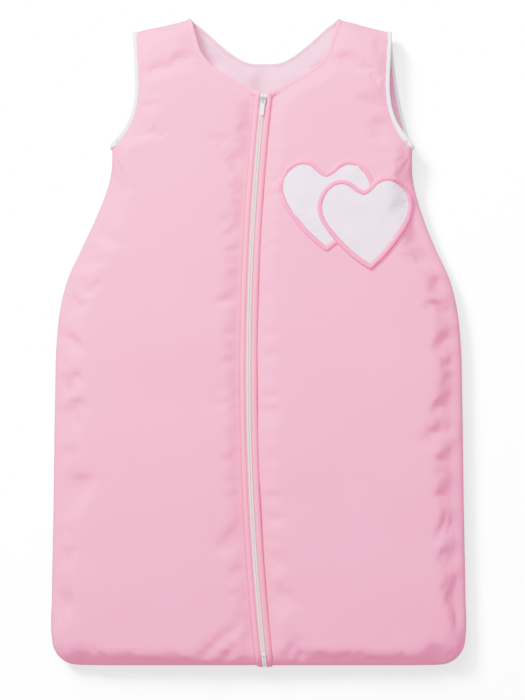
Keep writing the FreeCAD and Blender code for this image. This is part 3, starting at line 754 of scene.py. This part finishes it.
# %% Find the cloth under a point
class Surface:
    """The outside of one front panel, looked at from above."""

    def __init__(self, part):
        self.points, self.faces = part["out"], part["faces"]
        self.tree = BVHTree.FromPolygons(self.points.tolist(), self.faces.tolist())

    def at(self, x, y):
        """The point on the cloth over (x, y) and its normal. Beside the cloth, the nearest point counts."""
        hit = self.tree.ray_cast(Vector((x, y, 200.0)), Vector((0, 0, -1)))
        if hit[0] is None:
            hit = self.tree.find_nearest(Vector((x, y, FRONT_Z)))
        normal = hit[1] if hit[1].z > 0 else -hit[1]
        return np.array(hit[0]), np.array(normal)

    def lay(self, plan, lift=0.0):
        """Points of a flat drawing, laid on the cloth and lifted off it."""
        plan = np.asarray(plan, float)
        flat = plan.reshape(-1, 2)
        lifts = np.broadcast_to(lift, plan.shape[:-1]).reshape(-1)
        laid = [p + n * h for (p, n), h in zip((self.at(x, y) for x, y in flat), lifts)]
        return np.array(laid).reshape(plan.shape[:-1] + (3,))


surfaces = {side: Surface(panels[side]) for side in ("left", "right")}


def resample(path, step):
    """A path with points at even steps."""
    path = np.asarray(path, float)
    t = lengths(path)
    count = max(2, int(round(t[-1] / step)) + 1)
    at = np.linspace(0, t[-1], count)
    return np.stack([np.interp(at, t, path[:, k]) for k in range(path.shape[1])], axis=1)


def tangents(path, closed=False):
    if closed:
        t = np.roll(path, -1, axis=0) - np.roll(path, 1, axis=0)
    else:
        t = np.gradient(path, axis=0)
    return t / np.maximum(np.linalg.norm(t, axis=1, keepdims=True), 1e-12)


def sweep(rings, closed=False):
    """Faces round a stack of rings, and caps at the ends of an open one."""
    rows, columns = rings.shape[:2]
    a = np.arange(rows * columns).reshape(rows, columns)
    b = np.roll(a, -1, axis=0) if closed else a[1:]
    a0 = a if closed else a[:-1]
    faces = np.stack([a0, np.roll(a0, -1, axis=1), np.roll(b, -1, axis=1), b], axis=-1).reshape(-1, 4).tolist()
    if not closed:
        faces += [a[0, ::-1].tolist(), a[-1].tolist()]
    return rings.reshape(-1, 3), faces


def join(first, *others):
    """Makes several meshes one piece."""
    bpy.ops.object.select_all(action="DESELECT")
    for made in (first, *others):
        made.select_set(True)
    bpy.context.view_layer.objects.active = first
    bpy.ops.object.join()
    return first


# %% [markdown]
# ## One Geometry Nodes tree for everything that repeats
#
# Stitches and zip teeth are the same thing: a small solid set along a path at a pitch, turned with it. The path
# is a mesh of edges whose points carry the cloth's normal as the attribute `up`.

# %% Repeat a small solid along a path
def socket_id(tree, name):
    return next(i.identifier for i in tree.interface.items_tree if i.name == name and i.in_out == "INPUT")


def repeat_tree():
    tree = bpy.data.node_groups.new("repeat_along_path", "GeometryNodeTree")
    face = tree.interface
    face.new_socket("Geometry", in_out="INPUT", socket_type="NodeSocketGeometry")
    for name, kind, default in (
        ("Pitch", "NodeSocketFloat", 0.002),
        ("Size", "NodeSocketVector", (0.001, 0.001, 0.001)),
        ("Turn", "NodeSocketFloat", 0.0),
        ("Unevenness", "NodeSocketFloat", 0.1),
        ("Seed", "NodeSocketInt", 1),
        ("Rounds", "NodeSocketInt", 6),
    ):
        face.new_socket(name, in_out="INPUT", socket_type=kind).default_value = default
    face.new_socket("Material", in_out="INPUT", socket_type="NodeSocketMaterial")
    face.new_socket("Geometry", in_out="OUTPUT", socket_type="NodeSocketGeometry")

    def add(kind, settings=None, **inputs):
        made = tree.nodes.new(kind)
        for key, setting in (settings or {}).items():
            setattr(made, key, setting)
        for key, given in inputs.items():
            place = made.inputs[int(key[1:])] if key[0] == "_" else made.inputs[key.replace("_", " ")]
            if isinstance(given, bpy.types.NodeSocket):
                tree.links.new(given, place)
            else:
                place.default_value = given
        return made

    given = add("NodeGroupInput").outputs
    line = add("GeometryNodeMeshToCurve", Mesh=given["Geometry"]).outputs[0]
    points = add("GeometryNodeCurveToPoints", {"mode": "LENGTH"}, Curve=line, Length=given["Pitch"]).outputs
    up = add("GeometryNodeInputNamedAttribute", {"data_type": "FLOAT_VECTOR"}, Name="up").outputs[0]
    along = add("FunctionNodeAlignRotationToVector", {"axis": "X"}, Vector=points["Tangent"]).outputs[0]
    level = add("FunctionNodeAlignRotationToVector", {"axis": "Z", "pivot_axis": "X"},
                Rotation=along, Vector=up).outputs[0]
    turn = add("ShaderNodeCombineXYZ", Z=given["Turn"]).outputs[0]
    turned = add("FunctionNodeEulerToRotation", Euler=turn).outputs[0]
    facing = add("FunctionNodeRotateRotation", {"rotation_space": "LOCAL"},
                 Rotation=level, Rotate_By=turned).outputs[0]
    ball = add("GeometryNodeMeshUVSphere", Segments=given["Rounds"], Rings=4, Radius=0.5).outputs["Mesh"]
    lowest = add("ShaderNodeMath", {"operation": "SUBTRACT"}, _0=1.0, _1=given["Unevenness"]).outputs[0]
    uneven = add("FunctionNodeRandomValue", {"data_type": "FLOAT"}, Min=lowest, Max=1.0, Seed=given["Seed"])
    scale = add("ShaderNodeVectorMath", {"operation": "SCALE"}, _0=given["Size"], Scale=uneven.outputs[1])
    spread = add("GeometryNodeInstanceOnPoints", Points=points["Points"], Instance=ball, Rotation=facing,
                 Scale=scale.outputs[0]).outputs[0]
    real = add("GeometryNodeRealizeInstances", Geometry=spread).outputs[0]
    smooth = add("GeometryNodeSetShadeSmooth", Geometry=real).outputs[0]
    painted = add("GeometryNodeSetMaterial", Geometry=smooth, Material=given["Material"]).outputs[0]
    add("NodeGroupOutput", Geometry=painted)
    return tree


REPEAT = repeat_tree()


def repeat(name, paths, material, pitch, size, turn=0.0, unevenness=0.12, seed=1, rounds=6):
    """Sets a small solid of that size, in millimetres, along paths of (points, normals). Returns a plain mesh."""
    points = np.concatenate([p for p, _ in paths])
    ups = np.concatenate([n for _, n in paths])
    edges, start = [], 0
    for path, _ in paths:
        edges += [(start + k, start + k + 1) for k in range(len(path) - 1)]
        start += len(path)
    mesh = bpy.data.meshes.new(name)
    mesh.from_pydata((points * MM).tolist(), edges, [])
    mesh.attributes.new("up", "FLOAT_VECTOR", "POINT").data.foreach_set("vector", ups.astype(np.float32).ravel())
    made = bpy.data.objects.new(name, mesh)
    bpy.context.scene.collection.objects.link(made)
    live = made.modifiers.new("repeat", "NODES")
    live.node_group = REPEAT
    values = {"Pitch": pitch * MM, "Size": tuple(s * MM for s in size), "Turn": turn, "Unevenness": unevenness,
              "Seed": seed, "Rounds": rounds, "Material": material}
    for key, given in values.items():
        live[socket_id(REPEAT, key)] = given
    graph = bpy.context.evaluated_depsgraph_get()
    made.update_tag()
    graph.update()
    plain = bpy.data.meshes.new_from_object(made.evaluated_get(graph), depsgraph=graph)
    made.modifiers.remove(live)
    made.data = plain
    for layer in [a.name for a in plain.attributes if a.name == "up"]:
        plain.attributes.remove(plain.attributes[layer])
    return made


print("geometry nodes:", len(REPEAT.nodes))

# %% [markdown]
# ## The zip
#
# Tape, facing and teeth follow the zip's line, which bows to the left. At the hem they bend over the edge with the
# cloth. `strip` gives a point beside the line: u is how far to the right of it.


# %% Where the zip lies
STRIP_LEVEL = 45.5
HEM_BEND = 25.0


def strip(y, u, lift=0.0):
    """A point beside the zip's line. Below the bend, the line goes over the hem to the seam."""
    y = np.asarray(y, float)
    start = -HALF + HEM_BEND
    over = np.clip((start - y) / HEM_BEND, 0, 1.45)
    angle = over * math.pi / 2
    flat_y = np.where(y < start, start - HEM_BEND * np.sin(np.minimum(angle, math.pi / 2)), y)
    drop = np.where(y < start, HEM_BEND * (1 - np.cos(np.minimum(angle, math.pi / 2))), 0)
    below = np.where(over > 1, (over - 1) * HEM_BEND, 0)
    line_y = np.maximum(y, start)
    tilt = np.minimum(angle, math.pi / 2)
    x = zip_x(line_y, u) + (zip_x(flat_y) - zip_x(line_y))
    lean = (line_y - ZIP_MIDDLE) / (ZIP_RADIUS - u) * u
    return np.stack([x + 0 * y, flat_y + lean * 0 - lift * np.sin(tilt),
                     STRIP_LEVEL - drop - below + lift * np.cos(tilt)], axis=-1)


def strip_normal(y):
    """Straight up, and outwards where the line goes over the hem."""
    over = np.clip((-HALF + HEM_BEND - np.asarray(y, float)) / HEM_BEND, 0, 1)
    tilt = over * math.pi / 2
    return np.stack([np.zeros_like(tilt), -np.sin(tilt), np.cos(tilt)], axis=-1)


def ribbon(name, ys, profile, material, uv_scale=1.0):
    """A closed strip with a cross-section of (u, lift) pairs, or a function of y that gives them."""
    section = np.array([profile(y) if callable(profile) else profile for y in ys], float)
    rings = np.stack([strip(ys, section[:, k, 0], section[:, k, 1]) for k in range(section.shape[1])], axis=1)
    points, faces = sweep(rings)
    cloth = np.stack([section[:, :, 0], np.broadcast_to(ys[:, None], section.shape[:2])], axis=-1)
    return mesh_object(name, points, faces, [material], cloth.reshape(-1, 2) * MM * uv_scale)


def outwards(made):
    """Turns every face of a closed piece outwards."""
    import bmesh

    work = bmesh.new()
    work.from_mesh(made.data)
    bmesh.ops.recalc_face_normals(work, faces=work.faces)
    work.to_mesh(made.data)
    work.free()
    return made


# %% Facings, tapes and teeth
FACING_FROM, FACING_TO = 4.9, 11.6
COIL_FROM, COIL_TO = 0.05, 2.95
TAPE_WIDTH = 10.5
zip_pieces = {}
low = np.arange(-HALF - 9.0, ZIP_TOP + 3.0, 2.0)
teeth_line = np.arange(ZIP_BOTTOM - 12.0, ZIP_TOP - 2.0, 1.0)
for side, sign in SIGN.items():

    def facing_section(y, sign=sign):
        """A soft folded band, thinner where it is sewn down."""
        pucker = 0.28 * math.sin(y / 1.7 + 1.3 * math.sin(y / 11.0)) * (0.5 + 0.5 * math.sin(y / 37.0 + sign))
        at_foot = float(ease((-HALF + 14.0 - y) / 16.0))
        first, last = FACING_FROM - (FACING_FROM - 0.2) * at_foot, FACING_TO
        mid = (first + last) / 2
        top = [(first, 0.5), (first + 0.4, 1.6), (first + 1.5, 2.2), (mid, 2.4 + pucker),
               (last - 1.8, 1.7 + pucker * 0.8), (last - 0.7, 0.6), (last, -0.9)]
        bottom = [(last - 0.4, -2.2), (mid, -1.0), (first + 0.4, -0.1)]
        return [(sign * u, h) for u, h in top + bottom]

    facing = outwards(ribbon("zip_facing_" + side + "_cloth", low, facing_section, FACING))
    tape = outwards(ribbon("zip_tape_" + side + "_weave", teeth_line[::2],
                           [(sign * 0.05, 0.0), (sign * 0.05, 0.5), (sign * TAPE_WIDTH, 0.5), (sign * TAPE_WIDTH, 0.0)], TAPE))
    middle = sign * (COIL_FROM + COIL_TO) / 2
    half_step = 0.65 if side == "right" else 0.0
    path = strip(teeth_line + half_step, np.full(len(teeth_line), middle), 1.75)
    coil = repeat("zip_coil_" + side + "_teeth", [(path, strip_normal(teeth_line))], COIL, 1.3,
                  (0.95, 3.0, 1.9), turn=0.12 * sign, unevenness=0.0, rounds=8)
    zip_pieces[side] = {"facing": facing, "tape": tape, "coil": coil}
    for kind, slot in (("facing", "facing_cotton"), ("tape", "zip_tape_weave"), ("coil", "zip_coil_nylon")):
        made = zip_pieces[side][kind]
        hang(made, side)
        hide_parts("zip_" + kind + "_" + side, "lapel_" + side + "_zip_" + kind)
print("zip:", {side: [len(o.data.polygons) for o in made.values()] for side, made in zip_pieces.items()})

# %% [markdown]
# ## Bindings
#
# A binding is a folded band that wraps a raw edge. Its section is a soft oval that follows the pad's thickness,
# with a groove where the stitching pulls it in.


# %% Wrap the raw edges
def border(part, side, which, first, last):
    """Outside points, inside points and the way into the panel along one border, from row first to last."""
    grid = part["grid"][side][first:last]
    edge, inner = (grid[:, 0], grid[:, 3]) if which == "outer" else (grid[:, -1], grid[:, -4])
    into = part["out"][inner] - part["out"][edge]
    into /= np.linalg.norm(into, axis=1, keepdims=True)
    return part["out"][edge], part["in"][edge], into


def joined(first, second, both=True):
    return [np.concatenate([a, b[::-1]] if both else [a, b]) for a, b in zip(first, second)]


def binding(name, edge, material, width, over=0.8, seed=1, foot=0.0):
    """A swept band round the edge, fuller by foot millimetres a side at its first end."""
    outside, inside, into = (np.asarray(part, float) for part in edge)
    both = resample(np.concatenate([outside, inside, into], axis=1), 2.2)
    outside, inside, into = both[:, :3], both[:, 3:6], both[:, 6:9]
    along = tangents((outside + inside) / 2)
    through = outside - inside
    thick = np.linalg.norm(through, axis=1, keepdims=True)
    through = through / np.maximum(thick, 1e-6)
    into = into - along * (into * along).sum(1, keepdims=True)
    into = into - through * (into * through).sum(1, keepdims=True)
    into /= np.linalg.norm(into, axis=1, keepdims=True)
    centre = (outside + inside) / 2
    arc = np.arange(len(centre)) * 2.2
    ripple = 1 + 0.05 * np.sin(arc / 2.9 + seed) + 0.04 * np.sin(arc / 5.3 + 2 * seed)
    rings, flat = [], []
    for k, turn in enumerate(np.linspace(0, 2 * math.pi, 20, endpoint=False)):
        a = (width / 2 - 1.4) + width / 2 * math.copysign(abs(math.cos(turn)) ** 0.75, math.cos(turn))
        b = math.copysign(abs(math.sin(turn)) ** 0.7, math.sin(turn))
        groove = 0.45 * math.exp(-(((a - width * 0.62) / 0.8) ** 2))
        half = (np.maximum(thick[:, 0], 2.4) / 2 + over) * ripple - groove + foot * np.exp(-((arc / 16) ** 2))
        rings.append(centre + into * a + through * (b * half)[:, None])
        flat.append(np.stack([np.full(len(arc), a + 3 * b), arc], axis=1) * MM)
    rings = np.stack(rings, axis=1)
    points, faces = sweep(rings)
    made = outwards(mesh_object(name, points, faces, [material], np.stack(flat, axis=1).reshape(-1, 2)))
    stitch = centre + into * (width - 1.5) + through * (thick / 2 + over * 0.4)
    return made, (stitch, through)


def rows_from(part, side, level):
    """The first row of a panel's grid whose outer edge is above a level."""
    line = part["out"][part["grid"][side][:, 0]]
    return int(np.argmax(line[:, 1] >= level))


def neck_row(part, side, face):
    """The row of the grid where the inner edge leaves the zip, or the middle of the back."""
    line = part["out"][part["grid"][side][:, -1]]
    base = zip_x(np.clip(line[:, 1], ZIP_BOTTOM, ZIP_TOP + 30), SIGN[side] * SLOT) if face == "front" else NECK_SHIFT
    away = np.abs(line[:, 0] - base) > 0.6
    return int(np.argmax(away & (line[:, 1] > ARMPIT)))


stitch_rows = {"bag": [], "back": [], "left": [], "right": []}
for side in SIGN:
    front, back = panels[side], panels["back"]
    edge = border(front, side, "outer", rows_from(front, side, ARMPIT - 2), None)
    rear = border(back, side, "outer", rows_from(back, side, ARMPIT - 2), None)
    near, row_near = binding("armhole_front", edge, BINDING, 7.0, seed=3, foot=1.3)
    far, row_far = binding("armhole_back", rear, BINDING, 6.0, seed=4)
    join(near, far)
    near.name = "armhole_binding_" + side + "_band"
    hang(near, None)
    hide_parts("armhole_binding_" + side)
    stitch_rows["bag"].append(row_near)
    edge = border(front, side, "inner", neck_row(front, side, "front"), None)
    at_zip = strip(ZIP_TOP + 1.5, SIGN[side] * (FACING_FROM - 0.6), 1.4)
    edge = [np.concatenate([[first], rest[2:]]) for first, rest in zip(
        (at_zip, at_zip - [0, 0, 4.0], edge[2][2]), edge)]
    band, row = binding("neck_binding_" + side + "_band", edge, NECKBAND, 7.5, seed=5)
    hang(band, side)
    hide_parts("neck_binding_" + side, "lapel_" + side + "_neck_binding")
    stitch_rows[side].append(row)

halves = [border(panels["back"], side, "inner", neck_row(panels["back"], side, "back"), None) for side in SIGN]
edge = [np.concatenate([a[::-1], b[1:]]) for a, b in zip(*halves)]
band, row = binding("neck_binding_back_band", edge, LINING, 5.0, seed=6)
stitch_rows["back"].append((row[0] - 2 * row[1] * 2.4, -row[1]))
hang(band, None)
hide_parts("neck_binding_back")
print("bindings made")

# %% [markdown]
# ## Hearts
#
# A heart is two arcs and two straight sides. The patch is a sheet laid on the shell, a little puckered where it is
# sewn. Its border is a low cord of satin stitch: a domed band, and a thread across it every 0.6 mm.

# %% Draw and lay the hearts
DEPTH, CORD = 127.0, 6.5
HALF_HEART = [(0, -17.5), (8, -12.5), (15, -6), (23, -1.4), (33, 0), (44, -2.8), (54, -10), (61.5, -20), (65.8, -32),
              (66, -44), (62, -57), (54, -71), (41, -88.5), (22, -109), (0, -DEPTH)]
HEARTS = {
    "front_heart": {"at": (143.5, 226.0), "turn": 4.7, "lift": 2.2, "lapel": None},
    "rear_heart": {"at": (93.0, 251.0), "turn": 0.0, "lift": 0.4, "lapel": "right"},
}


def heart(inset):
    """A closed outline that starts at the notch, with its lobes' tops at y = 0, moved inwards."""
    half = curve(HALF_HEART, 1.0)
    along = tangents(half)
    half = half + np.stack([along[:, 1], -along[:, 0]], axis=1) * inset
    half = half[half[:, 0] > 0.4]
    notch = [0.0, half[0, 1] - 0.8]
    tip = [0.0, half[-1, 1] - 0.6]
    half = np.concatenate([[notch], half, [tip]])
    mirror = half[::-1][1:-1] * [-1, 1]
    return resample(np.concatenate([half, mirror, half[:1]]), 1.0)[:-1]


def placed(outline, at, turn):
    c, s = math.cos(math.radians(turn)), math.sin(math.radians(turn))
    return outline @ np.array([[c, s], [-s, c]]) + at


def heart_patch(name, spec, surface):
    outline = placed(heart(CORD / 2), spec["at"], spec["turn"])
    middle = placed(np.array([[0.0, -0.36 * DEPTH]]), spec["at"], spec["turn"])
    share = (np.linspace(0, 1, 30) ** 0.8)[:, None, None]
    plan = middle + (outline - middle) * share
    at_rim = 1 - share[..., 0]
    gather = waves(plan, len(name), 9.0, 10) * 0.4 * np.exp(-at_rim * 6) + waves(plan, 5, 46.0) * 0.45
    creases = waves((plan - middle) @ np.array([[0.25, 0.1], [-0.1, 1.0]]), 12, 24.0, 5) * 0.4 * ease(at_rim / 0.2)
    gather = gather + creases
    puff = 1.2 * ease(at_rim / 0.3)
    points = surface.lay(plan, spec["lift"] + 0.4 + gather + puff)
    size, count = np.ptp(outline, axis=0), np.arange(len(outline))
    round_it = np.stack([count, np.roll(count, -1)], axis=1)
    rows, columns = plan.shape[:2]
    a = np.arange(rows * columns).reshape(rows, columns)
    faces = np.stack([a[:-1], a[1:], np.roll(a[1:], -1, 1), np.roll(a[:-1], -1, 1)], -1).reshape(-1, 4).tolist()
    points[0] = points[0].mean(axis=0)
    made = mesh_object(name + "_patch_cloth", points.reshape(-1, 3), faces, [HEART], plan.reshape(-1, 2) * MM)
    import bmesh

    work = bmesh.new()
    work.from_mesh(made.data)
    bmesh.ops.remove_doubles(work, verts=work.verts, dist=1e-6)
    bmesh.ops.recalc_face_normals(work, faces=work.faces)
    if sum(f.normal.z for f in work.faces) < 0:
        bmesh.ops.reverse_faces(work, faces=work.faces)
    work.to_mesh(made.data)
    work.free()
    cut(outline * MM, round_it, 0)[1]
    return thicken(made, 0.5)


def heart_border(name, spec, surface):
    """The domed band, its threads and a darker stitch line just inside it, joined into one piece. The line's dark
    colour is painted shade of the groove beside the cord.
    """
    outline = placed(heart(CORD / 2), spec["at"], spec["turn"])
    along = tangents(outline, closed=True)
    across = np.stack([along[:, 1], -along[:, 0]], axis=1)
    rings = []
    for turn in np.linspace(0, 2 * math.pi, 12, endpoint=False):
        u, h = CORD / 2 * math.cos(turn), math.sin(turn)
        h *= 1.25 if h > 0 else spec["lift"] + 1.2
        rings.append(surface.lay(outline + across * u, spec["lift"] + 0.9 + h))
    points, faces = sweep(np.stack(rings, axis=1), closed=True)
    band = outwards(mesh_object(name + "_border_satin", points, faces, [SATIN]))
    ring = np.concatenate([outline, outline[:1]])
    spots = [surface.at(x, y) for x, y in ring]
    path = np.array([p + n * (spec["lift"] + 1.25) for p, n in spots])
    ups = np.array([n for _, n in spots])
    threads = repeat(name + "_threads", [(path, ups)], SATIN, 0.8, (0.95, CORD + 1.0, 2.6), unevenness=0.12,
                     seed=len(name), rounds=6)
    # A row of darker pink thread just inside the cord: a stitch line whose dark colour is painted shade of the
    # groove between cord and patch.
    inner = [surface.at(x, y) for x, y in placed(heart(CORD + 0.1), spec["at"], spec["turn"])]
    inner.append(inner[0])
    path = np.array([p + n * (spec["lift"] + 1.0) for p, n in inner])
    edge = repeat(name + "_edge", [(path, np.array([n for _, n in inner]))], PINK_THREAD_AND_GROOVE_SHADE, 1.6, (2.0, 1.3, 1.2),
                  seed=2)
    return join(band, threads, edge)


for name, spec in HEARTS.items():
    surface = surfaces["right"]
    patch, cord = heart_patch(name, spec, surface), heart_border(name, spec, surface)
    on_lapel = ["lapel_right_heart_patch", "lapel_right_heart_border"] if spec["lapel"] else [None, None]
    for made, kind, extra, slot in (
        (patch, "_patch", on_lapel[0], "heart_cotton"),
        (cord, "_border", on_lapel[1], "heart_satin_stitch"),
    ):
        hang(made, spec["lapel"])
        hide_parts(name + kind, *([extra] if extra else []))
    print(name, "faces:", len(patch.data.polygons), len(cord.data.polygons))

# %% [markdown]
# ## Topstitching
#
# A row of thread runs down each side of the zip beside the facing, and one along each binding. The pink rows are
# darker than the cloth: thread colour plus painted shade of the stitch groove.

# %% Sew
SEW_OFF = FACING_TO + 0.5
for side, sign in SIGN.items():
    ys = np.arange(-HALF + 12.0, ZIP_TOP + 2.0, 1.5)
    spots = [surfaces[side].at(float(zip_x(min(y, ZIP_TOP), sign * SEW_OFF)), float(y)) for y in ys]
    path = np.array([p + n * 0.25 for p, n in spots])
    ups = np.array([n for _, n in spots])
    rows = [(path, ups)] + stitch_rows[side]
    # Darker pink thread: its colour holds painted shade of the stitch groove beside the facing and the neck binding.
    sewn = repeat("topstitch_" + side, rows, PINK_THREAD_AND_GROOVE_SHADE, 2.9, (2.5, 0.95, 0.8), seed=7)
    hang(sewn, side)
sewn = repeat("topstitch_armholes", stitch_rows["bag"], WHITE_THREAD, 2.9, (2.1, 0.7, 0.6), seed=9)
hang(sewn, None)
# The same darker thread: painted groove shade along the back neck binding.
sewn = repeat("topstitch_back_neck", stitch_rows["back"], PINK_THREAD_AND_GROOVE_SHADE, 2.9, (2.4, 0.9, 0.7), seed=11)
hang(sewn, None)
print("stitches made")

# %% [markdown]
# ## Metal parts
#
# The slider, its pull and the stops are small and hard, so the CAD's own shapes show.

# %% Paint the CAD's metal
painted = {"slider_body": SILVER, "pull_tab": ENAMEL, "zip_bottom_stop": STOP,
           "zip_top_stop_left": STOP, "zip_top_stop_right": STOP}
for name, material in painted.items():
    node = frame["nodes"][name]
    node.data.materials.clear()
    node.data.materials.append(material)
print("painted:", sorted(painted))

# %% [markdown]
# ## Floor, light and camera
#
# The bag lies on white. The light is soft and comes from the upper left, so the shadow falls to the right and
# towards the hem.

# %% Stage
def lamp(name, where, target, size, watts, colour=(1, 1, 1)):
    data = bpy.data.lights.new(name, "AREA")
    data.shape, data.size, data.energy, data.color = "DISK", size, watts, colour
    made = bpy.data.objects.new(name, data)
    made.location = where
    made.rotation_euler = (Vector(target) - Vector(where)).to_track_quat("-Z", "Y").to_euler()
    bpy.context.scene.collection.objects.link(made)
    return made


def only_for(light, thing):
    """Makes a light shine on one object alone."""
    group = bpy.data.collections.new(light.name + "_receiver")
    group.objects.link(thing)
    light.light_linking.receiver_collection = group


FLOOR_CORNERS = np.array([[-1, -1, 0], [1, -1, 0], [1, 1, 0], [-1, 1, 0]]) * 40000.0
floor = mesh_object("floor", FLOOR_CORNERS, [[0, 1, 2, 3]])
paper = Graph("white_paper")
white = (0.95, 0.95, 0.95, 1)
floor.data.materials.append(paper.set(Base_Color=white, Roughness=0.9, Specular_IOR_Level=0.0,
                                      Emission_Color=(1, 1, 1, 1), Emission_Strength=2.2))
floor.location = (0, 0, -0.0005)
floor.visible_diffuse = floor.visible_glossy = False
key = lamp("key_light", (-0.9, 1.45, 1.3), (0, 0.2, 0), 0.4, 165, (1.0, 0.985, 1.0))
softbox = lamp("softbox", (-0.5, 1.1, 2.5), (0, 0.1, 0), 1.0, 90)
paper_light = lamp("paper_light", (-1.7, 1.9, 2.4), (0, 0, 0), 1.1, 1900)
only_for(paper_light, floor)

world = bpy.data.worlds.new("room")
world.use_nodes = True
world.node_tree.nodes["Background"].inputs["Color"].default_value = (1.0, 0.965, 0.96, 1)
world.node_tree.nodes["Background"].inputs["Strength"].default_value = 1.2
bpy.context.scene.world = world

lens = bpy.data.cameras.new("camera")
lens.lens, lens.sensor_width, lens.sensor_height, lens.sensor_fit = 100.0, 36.0, 36.0, "VERTICAL"
camera = bpy.data.objects.new("camera", lens)
camera.location = (0.0055, -0.011, 2.683 + 0.045)
bpy.context.scene.collection.objects.link(camera)
bpy.context.scene.camera = camera
print("staged")

# %% [markdown]
# ## Finish

# %% Finish
bpy.context.view_layer.update()
